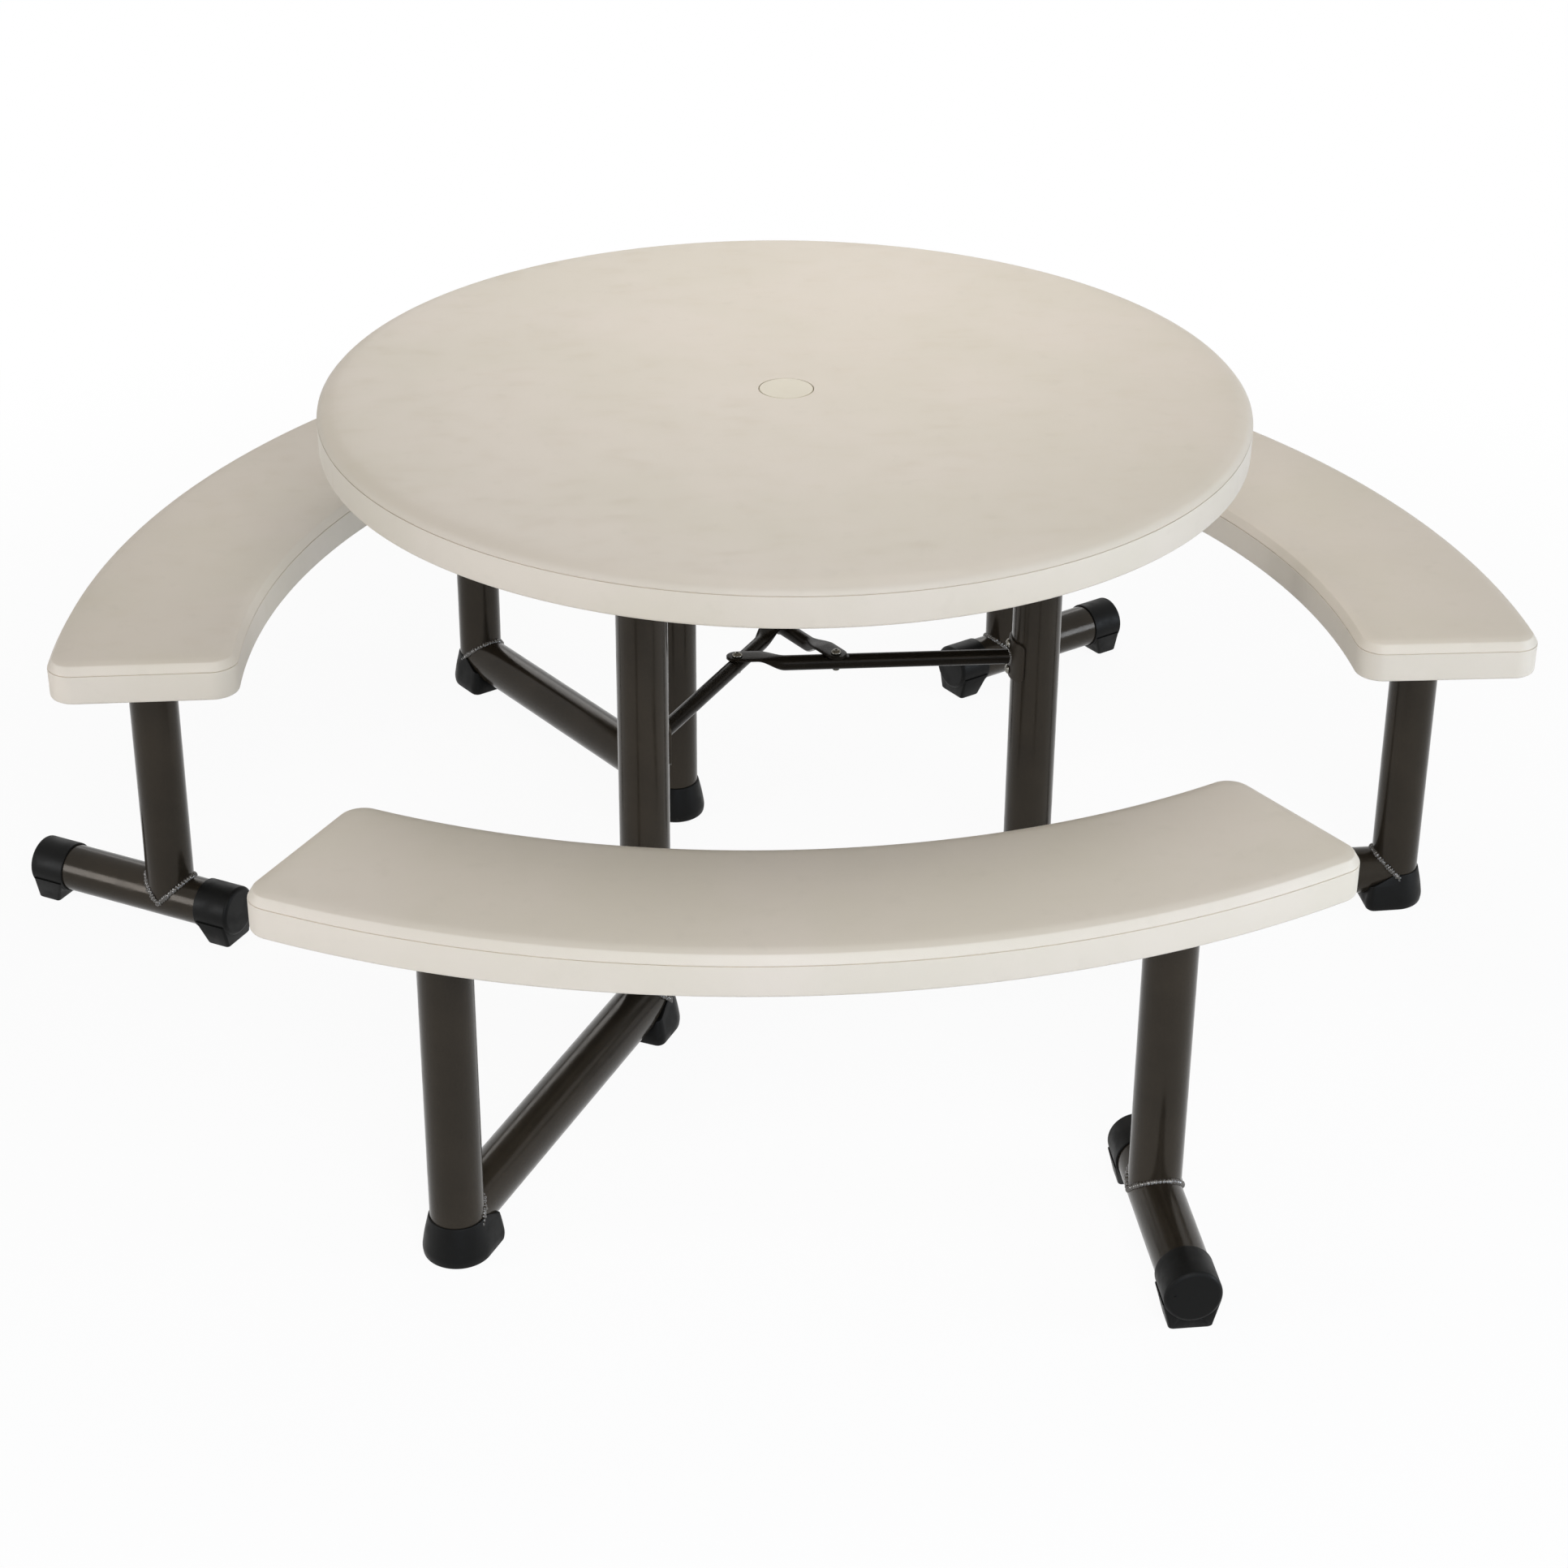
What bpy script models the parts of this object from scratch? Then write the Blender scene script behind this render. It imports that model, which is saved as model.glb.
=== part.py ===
"""Round picnic table with three curved benches on one welded and bolted tube frame.

Metres, +Z up. Everything is laid out around the table's vertical axis with the floor at z = 0.
The front bench's centreline points along -Y, and the other two units are the same unit turned
by a third of a turn. The last step moves the whole object so that the middle of its box's
bottom is the origin.
"""

import math

import bmesh
import bpy
from mathutils import Matrix, Vector

# Tabletop
TOP_HEIGHT = 0.735
TOP_RADIUS = 0.559
TOP_EDGE = 0.051
TOP_ROLL_WIDTH = 0.030
TOP_ROLL_DROP = 0.011
TOP_SKIRT = 0.030
TOP_PANEL = 0.034
TOP_SIDES = 48

# Umbrella hole and the cap that closes it
HOLE_RADIUS = 0.0245
CAP_RADIUS = 0.0325
CAP_SEAT_DEPTH = 0.0045
CAP_PLUG_DEPTH = 0.022
CAP_PLUG_WALL = 0.0025
HOLE_BOSS = 0.022
CAP_SIDES = 24

# Benches
BENCH_HEIGHT = 0.465
BENCH_EDGE = 0.051
BENCH_INNER = 0.954
BENCH_WIDTH = 0.224
BENCH_OUTER = BENCH_INNER + BENCH_WIDTH
BENCH_HALF_ANGLE = math.radians(30.7)
BENCH_CENTRE_BACK = 0.324
BENCH_SIDE_STEP = -0.023
BENCH_CORNER = 0.032
BENCH_ROLL_WIDTH = 0.027
BENCH_ROLL_DROP = 0.012
BENCH_SKIRT = 0.024
BENCH_PANEL = 0.034
BENCH_ARC_STEPS = 11

# Edge details shared by the mouldings
GROOVE_WIDTH = 0.0016
GROOVE_DEPTH = 0.0010
LIP_ROUND = 0.005
DIMPLE_RADIUS = 0.010
DIMPLE_DEPTH = 0.012
BENCH_DIMPLE_INSET = 0.053
TOP_DIMPLE_INSET = 0.089
TOP_DIMPLE_RING = 0.150

# Tube frame
TUBE_RADIUS = 0.0302
TUBE_WALL = 0.0020
TUBE_SIDES = 20
GROUND_TUBE_HEIGHT = 0.0435
TABLE_LEG_OUT = 0.314
TABLE_LEG_TURN = math.radians(-36.2)
BENCH_LEG_INSET = 0.136
BENCH_LEG_OUT = BENCH_INNER + BENCH_LEG_INSET
BENCH_LEG_HALF_ANGLE = math.radians(20.85)
FOOT_INWARD = 0.104
FOOT_OUTWARD = 0.200

# Black mouldings that stand on the floor
BOOT_WALL = 0.0018
BOOT_FLARE = 0.0078
BOOT_HEIGHT = 0.050
BOOT_FLOOR = 0.0057
BOOT_TOE = 0.0435
BOOT_CORNER = 0.012
BOOT_SLOPE_START = 0.008
BOOT_SLOPE = math.radians(27)
FOOT_CAP_WALL = 0.0022
FOOT_CAP_LENGTH = 0.050
FOOT_CAP_END = 0.0040
FOOT_CAP_ROUND = 0.0025
PAD_WIDTH = 0.048
PAD_TOP_WIDTH = 0.066
PAD_LENGTH = 0.030
PAD_TOP_LENGTH = 0.044

# Braces between the table legs
BRACE_HEIGHT = 0.384
BRACE_RADIUS = 0.0096
BRACE_TURN = math.radians(6.5)
BRACE_SIDES = 10
TAB_HALF_WIDTH = 0.0135
TAB_HALF_THICK = 0.0018
TAB_LENGTH = 0.024
TAB_JOGGLE = 0.036
TAB_SEAT_DEPTH = 0.0015
SADDLE_WALL = 0.0030
SADDLE_HEIGHT = 0.052
SADDLE_EDGE = 0.019
SADDLE_BOLT_RISE = 0.0175

# Plates and fasteners
PLATE_THICK = 0.0030
TABLE_PLATE = 0.110
BENCH_PLATE = 0.090
SCREW_INSET = 0.013
SCREW_RADIUS = 0.0026
SCREW_DEPTH = 0.014
BOLT_RADIUS = 0.0030
BOLT_HEAD_RADIUS = 0.0064
BOLT_HEAD = 0.0038
RIVET_END_RADIUS = 0.0046
RIVET_END = 0.0014
RIVET_NUT_RADIUS = 0.0048
RIVET_NUT_LENGTH = 0.0070

# Clearances
SEAT_GAP = 0.0003
HOLE_GAP = 0.0004
CAP_GAP = 0.0005

UNITS = (("front", 0), ("right", 1), ("left", 2))
THIRD_TURN = 2 * math.pi / len(UNITS)

# The T legs are bolted on by hand, so each stands a little differently under its bench:
# how far it is drawn in, how much nearer it is to the bench's end, and how its foot is turned
T_LEG_SETTINGS = {"front": (0.000, math.radians(0.0), math.radians(2.2)),
                  "right": (0.020, math.radians(1.6), math.radians(0.6)),
                  "left": (-0.003, math.radians(0.0), math.radians(0.0))}

COLOURS = {
    "almond": ((0.66, 0.62, 0.54), 0.55, 0.0),
    "bronze": ((0.045, 0.037, 0.030), 0.32, 0.75),
    "black": ((0.012, 0.012, 0.011), 0.55, 0.0),
    "zinc": ((0.42, 0.42, 0.42), 0.35, 1.0),
}


def clear_scene():
    for obj in list(bpy.data.objects):
        bpy.data.objects.remove(obj, do_unlink=True)


def new_collection(name):
    collection = bpy.data.collections.new(name)
    bpy.context.scene.collection.children.link(collection)
    return collection


def principled(name, colour, roughness, metallic):
    material = bpy.data.materials.new(name)
    material.use_nodes = True
    shader = material.node_tree.nodes["Principled BSDF"]
    shader.inputs["Base Color"].default_value = (*colour, 1.0)
    shader.inputs["Roughness"].default_value = roughness
    shader.inputs["Metallic"].default_value = metallic
    material.diffuse_color = (*colour, 1.0)
    return material


clear_scene()
PARTS = new_collection("round_picnic_table")
CUTTERS = new_collection("cutters")


def flat_point(radius, angle):
    """The point at this distance and angle from the origin, on the floor."""
    return Vector((radius * math.cos(angle), radius * math.sin(angle), 0.0))


def at_height(point, height):
    return Vector((point.x, point.y, height))


def along(start, direction):
    """A frame whose Z runs along direction from start, with Y as near to up as it can be."""
    z_axis = Vector(direction).normalized()
    up = Vector((0, 0, 1)) if abs(z_axis.z) < 0.9 else Vector((1, 0, 0))
    x_axis = up.cross(z_axis).normalized()
    y_axis = z_axis.cross(x_axis)
    turn = Matrix((x_axis, y_axis, z_axis)).transposed().to_4x4()
    return Matrix.Translation(start) @ turn


def object_from(mesh, name, collection):
    obj = bpy.data.objects.new(name, mesh)
    collection.objects.link(obj)
    return obj


def mesh_from(bm, name):
    bmesh.ops.recalc_face_normals(bm, faces=bm.faces)
    mesh = bpy.data.meshes.new(name)
    bm.to_mesh(mesh)
    bm.free()
    return mesh


def round_bar(bm, radius, start, end, sides, capped=True):
    """Adds a cylinder from start to end to the bmesh."""
    start, end = Vector(start), Vector(end)
    length = (end - start).length
    place = along(start, end - start) @ Matrix.Translation((0, 0, length / 2))
    bmesh.ops.create_cone(bm, cap_ends=capped, segments=sides, radius1=radius, radius2=radius,
                          depth=length, matrix=place)


def bar_object(name, radius, start, end, sides, collection, capped=True):
    bm = bmesh.new()
    round_bar(bm, radius, start, end, sides, capped)
    return object_from(mesh_from(bm, name), name, collection)


def pipe_object(name, start, end):
    """A hollow frame tube: an open cylinder thickened inwards."""
    obj = bar_object(name, TUBE_RADIUS, start, end, TUBE_SIDES, CUTTERS, capped=False)
    wall = obj.modifiers.new("wall", "SOLIDIFY")
    wall.thickness = TUBE_WALL
    wall.offset = -1.0
    return obj


def turned(name, profile, sides, place=Matrix.Identity(4), closed=False):
    """A turned solid from (radius, height) points that run down its outer side."""
    mesh = bpy.data.meshes.new(name)
    edges = [(i, i + 1) for i in range(len(profile) - 1)]
    if closed:
        edges.append((len(profile) - 1, 0))
    mesh.from_pydata([(r, 0.0, z) for r, z in profile], edges, [])
    obj = object_from(mesh, name, CUTTERS)
    screw = obj.modifiers.new("turn", "SCREW")
    screw.steps = screw.render_steps = sides
    screw.use_merge_vertices = True
    screw.merge_threshold = 0.00001
    obj.matrix_world = place
    return obj


def boolean(obj, other, operation="DIFFERENCE"):
    other.hide_render = True
    other.display_type = "WIRE"
    step = obj.modifiers.new(operation.lower(), "BOOLEAN")
    step.operation = operation
    step.object = other
    return obj


def finished_mesh(obj, name, sharp=math.radians(35)):
    """The object's evaluated mesh in world space; the helper object is removed."""
    graph = bpy.context.evaluated_depsgraph_get()
    mesh = bpy.data.meshes.new_from_object(obj.evaluated_get(graph))
    mesh.name = name
    mesh.transform(obj.matrix_world)
    bm = bmesh.new()
    bm.from_mesh(mesh)
    bmesh.ops.remove_doubles(bm, verts=bm.verts, dist=0.000005)
    bmesh.ops.dissolve_degenerate(bm, edges=bm.edges, dist=0.000005)
    bm.to_mesh(mesh)
    bm.free()
    mesh.shade_smooth()
    mesh.set_sharp_from_angle(angle=sharp)
    bpy.data.objects.remove(obj, do_unlink=True)
    return mesh


def unit_copies(stem, mesh, kind):
    """One object for each of the three units, all sharing the mesh."""
    return [place_part(f"{stem}_{unit}", mesh, kind, UNIT_EMPTIES[unit]) for unit, _ in UNITS]


def place_part(name, mesh, kind, parent):
    obj = object_from(mesh, name, PARTS)
    obj.parent = parent
    colour, roughness, metallic = COLOURS[kind]
    obj.data.materials.clear()
    obj.data.materials.append(MATERIALS.setdefault(
        kind, principled(kind, colour, roughness, metallic)))
    return obj


MATERIALS = {}
ROOT = object_from(None, "table_axis", PARTS)
UNIT_EMPTIES = {}
for unit_name, unit_step in UNITS:
    empty = object_from(None, f"unit_{unit_name}", PARTS)
    empty.parent = ROOT
    empty.rotation_euler.z = THIRD_TURN * unit_step
    UNIT_EMPTIES[unit_name] = empty

# Places in the front unit, whose bench is centred along -Y
BENCH_CENTRE = Vector((BENCH_SIDE_STEP, BENCH_CENTRE_BACK, 0.0))
DOWN_Y = -math.pi / 2
TABLE_LEG = flat_point(TABLE_LEG_OUT, DOWN_Y + TABLE_LEG_TURN)
BENCH_LEG = BENCH_CENTRE + flat_point(BENCH_LEG_OUT, DOWN_Y - BENCH_LEG_HALF_ANGLE)
GROUND_RUN = (TABLE_LEG - BENCH_LEG).normalized()
BRACE_RUN = flat_point(1.0, DOWN_Y + TABLE_LEG_TURN + math.pi + BRACE_TURN)

TOP_UNDERSIDE = TOP_HEIGHT - TOP_PANEL
BENCH_UNDERSIDE = BENCH_HEIGHT - BENCH_PANEL
LEG_FOOT = BOOT_FLOOR + SEAT_GAP
BRACE_MISS = TABLE_LEG_OUT * math.sin(BRACE_TURN)
BRACE_CROSSING = TABLE_LEG_OUT * math.cos(BRACE_TURN) - math.sqrt(3) * BRACE_MISS
BRACE_REACH = BRACE_CROSSING + 2 * math.sqrt(3) * BRACE_MISS
TAB_RISE = BRACE_RADIUS - TAB_SEAT_DEPTH + SEAT_GAP + TAB_HALF_THICK


def t_leg(unit):
    """(post's place on the floor, direction of its foot, facing of its plate), as in the front unit."""
    drawn_in, nearer_end, turn = T_LEG_SETTINGS[unit]
    facing = DOWN_Y + BENCH_LEG_HALF_ANGLE + nearer_end
    return (BENCH_CENTRE + flat_point(BENCH_LEG_OUT - drawn_in, facing),
            flat_point(1.0, DOWN_Y + turn), facing)


def rolled_edge(height, edge, roll_width, roll_drop, skirt, panel):
    """(inset, height) pairs down a moulding's edge, from its flat top to its recessed underside."""
    groove_top = height - roll_drop
    bottom = height - edge
    roll = []
    for step in range(5):
        angle = math.radians(90 - 90 * step / 4)
        roll.append((roll_width * (1 - math.cos(angle)),
                     groove_top + roll_drop * math.sin(angle)))
    groove = [(GROOVE_DEPTH, groove_top - GROOVE_WIDTH / 2), (0.0, groove_top - GROOVE_WIDTH)]
    lip = [(0.0, bottom + LIP_ROUND), (LIP_ROUND * 0.3, bottom + LIP_ROUND * 0.3),
           (LIP_ROUND, bottom)]
    recess = [(skirt - LIP_ROUND, bottom), (skirt, height - panel)]
    return roll + groove + lip + recess


def tabletop_profile():
    edge = rolled_edge(TOP_HEIGHT, TOP_EDGE, TOP_ROLL_WIDTH, TOP_ROLL_DROP, TOP_SKIRT, TOP_PANEL)
    outside = [(TOP_RADIUS - inset, z) for inset, z in edge]
    seat = CAP_RADIUS + CAP_GAP
    boss = HOLE_RADIUS + HOLE_BOSS
    boss_bottom = TOP_HEIGHT - TOP_EDGE
    centre = [(boss + 0.004, TOP_UNDERSIDE), (boss, boss_bottom), (HOLE_RADIUS, boss_bottom),
              (HOLE_RADIUS, TOP_HEIGHT - CAP_SEAT_DEPTH), (seat, TOP_HEIGHT - CAP_SEAT_DEPTH),
              (seat, TOP_HEIGHT)]
    return outside + centre


def drill(bm, centres, radius, bottom, depth, sides, taper=1.0):
    """Adds an upright cone or pin to the bmesh at each centre, from just below bottom up."""
    for centre in centres:
        middle = Matrix.Translation((centre.x, centre.y, bottom + depth / 2 - SEAT_GAP))
        bmesh.ops.create_cone(bm, cap_ends=True, segments=sides, radius1=radius,
                              radius2=radius * taper, depth=depth + 2 * SEAT_GAP, matrix=middle)


def plate_corners(centre, facing, size):
    """The four screw places of a square plate turned to face along an angle."""
    reach = size / 2 - SCREW_INSET
    turn = Matrix.Rotation(facing, 3, "Z")
    return [centre + turn @ Vector((x * reach, y * reach, 0.0))
            for x, y in ((1, 1), (1, -1), (-1, -1), (-1, 1))]


TABLE_PLATE_FACING = DOWN_Y + TABLE_LEG_TURN
BENCH_PLATE_FACING = DOWN_Y - BENCH_LEG_HALF_ANGLE


def make_tabletop():
    obj = turned("tabletop_blank", tabletop_profile(), TOP_SIDES, closed=True)
    bm = bmesh.new()
    hole = SCREW_RADIUS + HOLE_GAP
    for _, step in UNITS:
        turn = Matrix.Rotation(THIRD_TURN * step, 3, "Z")
        corners = plate_corners(TABLE_LEG, TABLE_PLATE_FACING, TABLE_PLATE)
        drill(bm, [turn @ c for c in corners], hole, TOP_UNDERSIDE, SCREW_DEPTH + HOLE_GAP, 6)
    for ring_radius, count in ((TOP_DIMPLE_RING, 6), (TOP_RADIUS - TOP_DIMPLE_INSET, 15)):
        centres = [flat_point(ring_radius, 2 * math.pi * i / count) for i in range(count)]
        drill(bm, centres, DIMPLE_RADIUS, TOP_UNDERSIDE, DIMPLE_DEPTH, 6, 0.6)
    holes = object_from(mesh_from(bm, "tabletop_holes"), "tabletop_holes", CUTTERS)
    boolean(obj, holes)
    place_part("tabletop", finished_mesh(obj, "tabletop"), "almond", ROOT)


def make_umbrella_cap():
    seat_top = TOP_HEIGHT - CAP_SEAT_DEPTH + SEAT_GAP
    plug = HOLE_RADIUS - CAP_GAP
    bore = plug - CAP_PLUG_WALL
    plug_bottom = seat_top - CAP_PLUG_DEPTH
    edge = 0.0008
    profile = [(0.0, TOP_HEIGHT), (CAP_RADIUS - edge, TOP_HEIGHT), (CAP_RADIUS, TOP_HEIGHT - edge),
               (CAP_RADIUS, seat_top), (plug, seat_top), (plug, plug_bottom + edge),
               (plug - edge, plug_bottom), (bore, plug_bottom), (bore, seat_top), (0.0, seat_top)]
    obj = turned("cap_blank", profile, CAP_SIDES)
    place_part("umbrella_hole_cap", finished_mesh(obj, "umbrella_hole_cap"), "almond", ROOT)


def bench_outline():
    """(point, outward normal) pairs round the bench, from arcs about the bench's own centre."""
    outline = []

    def arc(centre, radius, start, end, steps, outward):
        for i in range(steps):
            angle = start + (end - start) * i / steps
            outline.append((centre + flat_point(radius, angle), flat_point(outward, angle)))

    half = BENCH_HALF_ANGLE
    outer_mid, inner_mid = BENCH_OUTER - BENCH_CORNER, BENCH_INNER + BENCH_CORNER
    outer_turn = half - math.asin(BENCH_CORNER / outer_mid)
    inner_turn = half - math.asin(BENCH_CORNER / inner_mid)
    quarter = math.pi / 2
    low, high = DOWN_Y - half, DOWN_Y + half
    outer_low, outer_high = DOWN_Y - outer_turn, DOWN_Y + outer_turn
    inner_low, inner_high = DOWN_Y - inner_turn, DOWN_Y + inner_turn
    arc(BENCH_CENTRE, BENCH_OUTER, outer_low, outer_high, BENCH_ARC_STEPS, 1.0)
    arc(BENCH_CENTRE + flat_point(outer_mid, outer_high), BENCH_CORNER,
        outer_high, high + quarter, 4, 1.0)
    end = BENCH_CENTRE + flat_point(outer_mid, outer_high) + flat_point(BENCH_CORNER, high + quarter)
    outline.append((end, flat_point(1.0, high + quarter)))
    arc(BENCH_CENTRE + flat_point(inner_mid, inner_high), BENCH_CORNER,
        high + quarter, inner_high + 2 * quarter, 4, 1.0)
    arc(BENCH_CENTRE, BENCH_INNER, inner_high, inner_low, BENCH_ARC_STEPS, -1.0)
    arc(BENCH_CENTRE + flat_point(inner_mid, inner_low), BENCH_CORNER,
        inner_low + 2 * quarter, low + 3 * quarter, 4, 1.0)
    end = BENCH_CENTRE + flat_point(inner_mid, inner_low) + flat_point(BENCH_CORNER, low - quarter)
    outline.append((end, flat_point(1.0, low - quarter)))
    arc(BENCH_CENTRE + flat_point(outer_mid, outer_low), BENCH_CORNER,
        low - quarter, outer_low, 4, 1.0)
    return outline


def edge_rings(name, outline, edge):
    """A moulding whose edge profile is carried round an outline, closed by a flat top and bottom."""
    bm = bmesh.new()
    rings = []
    for inset, z in edge:
        rings.append([bm.verts.new(at_height(p - n * inset, z)) for p, n in outline])
    count = len(outline)
    for upper, lower in zip(rings, rings[1:]):
        for i in range(count):
            j = (i + 1) % count
            bm.faces.new((upper[i], upper[j], lower[j], lower[i]))
    bm.faces.new(rings[0])
    bm.faces.new(list(reversed(rings[-1])))
    return object_from(mesh_from(bm, name), name, CUTTERS)


def make_benches():
    edge = rolled_edge(BENCH_HEIGHT, BENCH_EDGE, BENCH_ROLL_WIDTH, BENCH_ROLL_DROP, BENCH_SKIRT,
                       BENCH_PANEL)
    for unit, _ in UNITS:
        obj = edge_rings("bench_blank", bench_outline(), edge)
        bm = bmesh.new()
        post, _, post_facing = t_leg(unit)
        for centre, facing in ((BENCH_LEG, BENCH_PLATE_FACING), (post, post_facing)):
            drill(bm, plate_corners(centre, facing, BENCH_PLATE), SCREW_RADIUS + HOLE_GAP,
                  BENCH_UNDERSIDE, SCREW_DEPTH + HOLE_GAP, 6)
        for out, count, spread in ((BENCH_INNER + BENCH_DIMPLE_INSET, 5, 0.40),
                                   (BENCH_OUTER - BENCH_DIMPLE_INSET, 2, 0.14)):
            centres = [BENCH_CENTRE + flat_point(out, DOWN_Y + spread * (2 * i / (count - 1) - 1))
                       for i in range(count)]
            drill(bm, centres, DIMPLE_RADIUS, BENCH_UNDERSIDE, DIMPLE_DEPTH, 6, 0.6)
        boolean(obj, object_from(mesh_from(bm, "bench_holes"), "bench_holes", CUTTERS))
        place_part(f"bench_{unit}", finished_mesh(obj, "bench"), "almond", UNIT_EMPTIES[unit])


def leg_cutter(name, centre, radius, bottom, top):
    return bar_object(name, radius, at_height(centre, bottom), at_height(centre, top),
                      TUBE_SIDES, CUTTERS)


def make_upright_legs():
    plate_bottom = TOP_UNDERSIDE - SEAT_GAP - PLATE_THICK
    leg = pipe_object("table_leg_blank", at_height(TABLE_LEG, LEG_FOOT),
                      at_height(TABLE_LEG, plate_bottom - SEAT_GAP))
    bm = bmesh.new()
    for rise in (-SADDLE_BOLT_RISE, SADDLE_BOLT_RISE):
        start = at_height(TABLE_LEG, BRACE_HEIGHT + rise) + BRACE_RUN * TUBE_RADIUS / 2
        round_bar(bm, BOLT_RADIUS + HOLE_GAP, start, start + BRACE_RUN * TUBE_RADIUS, 8)
    boolean(leg, object_from(mesh_from(bm, "leg_bolt_holes"), "leg_bolt_holes", CUTTERS))
    unit_copies("table_leg", finished_mesh(leg, "table_leg"), "bronze")

    bench_top = BENCH_UNDERSIDE - 2 * SEAT_GAP - PLATE_THICK
    leg = pipe_object("bench_leg_blank", at_height(BENCH_LEG, LEG_FOOT),
                      at_height(BENCH_LEG, bench_top))
    unit_copies("bench_leg", finished_mesh(leg, "bench_leg"), "bronze")

    for unit, _ in UNITS:
        place, _, _ = t_leg(unit)
        post = pipe_object("t_post_blank", at_height(place, GROUND_TUBE_HEIGHT),
                           at_height(place, bench_top))
        start, end = foot_ends(unit, 0.0)
        boolean(post, bar_object("post_saddle_cut", TUBE_RADIUS + SEAT_GAP, start, end,
                                 TUBE_SIDES, CUTTERS))
        place_part(f"t_post_{unit}", finished_mesh(post, "t_post"), "bronze", UNIT_EMPTIES[unit])


def foot_ends(unit, shorter):
    """The two ends of the foot tube's axis, drawn in by a length."""
    place, run, _ = t_leg(unit)
    middle = at_height(place, GROUND_TUBE_HEIGHT)
    return middle - run * (FOOT_INWARD - shorter), middle + run * (FOOT_OUTWARD - shorter)


def make_low_tubes():
    # Each end starts half a facet of the legs' polygon out from the leg's axis, which blunts the
    # tips of the fish mouth, so that no sliver is left behind the leg whatever way the tube runs
    blunting = GROUND_RUN * (TUBE_RADIUS + SEAT_GAP) * math.sin(math.pi / TUBE_SIDES)
    tube = pipe_object("ground_tube_blank", at_height(BENCH_LEG, GROUND_TUBE_HEIGHT) + blunting,
                       at_height(TABLE_LEG, GROUND_TUBE_HEIGHT) - blunting)
    for name, leg in (("bench_end_cut", BENCH_LEG), ("table_end_cut", TABLE_LEG)):
        boolean(tube, turned_leg_cutter(name, leg))
    unit_copies("ground_tube", finished_mesh(tube, "ground_tube"), "bronze")

    for unit, _ in UNITS:
        start, end = foot_ends(unit, FOOT_CAP_END + SEAT_GAP)
        tube = finished_mesh(pipe_object("foot_tube_blank", start, end), "foot_tube")
        place_part(f"foot_tube_{unit}", tube, "bronze", UNIT_EMPTIES[unit])


def turned_leg_cutter(name, leg):
    """A leg-sized cutter for the fish-mouthed end of the ground tube."""
    return leg_cutter(name, leg, TUBE_RADIUS + SEAT_GAP, 0.0, 2 * GROUND_TUBE_HEIGHT)


def boot_outline(heel, run):
    """Plan of a boot at its foot: a half round heel behind the leg and straight sides to the toe."""
    radius = TUBE_RADIUS + BOOT_WALL + BOOT_FLARE
    back = math.atan2(run.y, run.x) + math.pi
    outline = []
    for i in range(13):
        angle = back - math.pi / 2 + math.pi * i / 12
        outline.append((heel + flat_point(radius, angle), flat_point(1.0, angle)))
    side = Vector((-run.y, run.x, 0.0))
    for sign in (-1, 1):
        centre = heel + run * (BOOT_TOE - BOOT_CORNER) + side * sign * (radius - BOOT_CORNER)
        steps = (0, 1, 2) if sign < 0 else (2, 1, 0)
        for step in steps:
            turn = sign * (math.pi / 2 - math.pi / 4 * step)
            normal = flat_point(1.0, math.atan2(run.y, run.x) + turn)
            outline.append((centre + normal * BOOT_CORNER, normal))
    return outline


def make_boot(stem, leg, run):
    """One boot moulding: a flared cup for the leg whose rim slopes down along the ground tube."""
    edge = [(BOOT_FLARE + BOOT_WALL / 2, BOOT_HEIGHT), (BOOT_FLARE, BOOT_HEIGHT - BOOT_WALL / 2),
            (BOOT_FLARE * 0.35, BOOT_HEIGHT * 0.55), (0.0, BOOT_HEIGHT * 0.2),
            (BOOT_CORNER * 0.1, BOOT_CORNER * 0.3), (BOOT_CORNER * 0.35, 0.0)]
    boot = edge_rings(f"{stem}_blank", boot_outline(leg, run), edge)
    cup = TUBE_RADIUS + SEAT_GAP
    boolean(boot, leg_cutter(f"{stem}_cup", leg, cup, BOOT_FLOOR, BOOT_HEIGHT * 2))
    middle = at_height(leg, GROUND_TUBE_HEIGHT)
    boolean(boot, bar_object(f"{stem}_cradle", cup, middle, middle + run * BOOT_TOE * 2,
                             TUBE_SIDES, CUTTERS))
    boolean(boot, rim_slope_cutter(f"{stem}_rim_cut", leg, run))
    unit_copies(stem, finished_mesh(boot, stem), "black")


def rim_slope_cutter(name, leg, run):
    """The block cut away above the boot's rim where it slopes down to the toe."""
    bm = bmesh.new()
    bmesh.ops.create_cube(bm, size=0.2)
    turn = Matrix.Rotation(math.atan2(run.y, run.x), 4, "Z") @ Matrix.Rotation(BOOT_SLOPE, 4, "Y")
    corner = at_height(leg + run * BOOT_SLOPE_START, BOOT_HEIGHT)
    bm.transform(Matrix.Translation(corner) @ turn @ Matrix.Translation((0.1, 0.0, 0.1)))
    return object_from(mesh_from(bm, name), name, CUTTERS)


def make_foot_caps():
    """End caps for the foot tubes: turned cups with a tapered pad below."""
    for stem, sign in (("foot_cap_inner", -1), ("foot_cap_outer", 1)):
        for unit, _ in UNITS:
            end = foot_ends(unit, 0.0)[0 if sign < 0 else 1]
            cap = foot_cap(stem, along(end, t_leg(unit)[1] * sign))
            place_part(f"{stem}_{unit}", finished_mesh(cap, stem), "black", UNIT_EMPTIES[unit])


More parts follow.
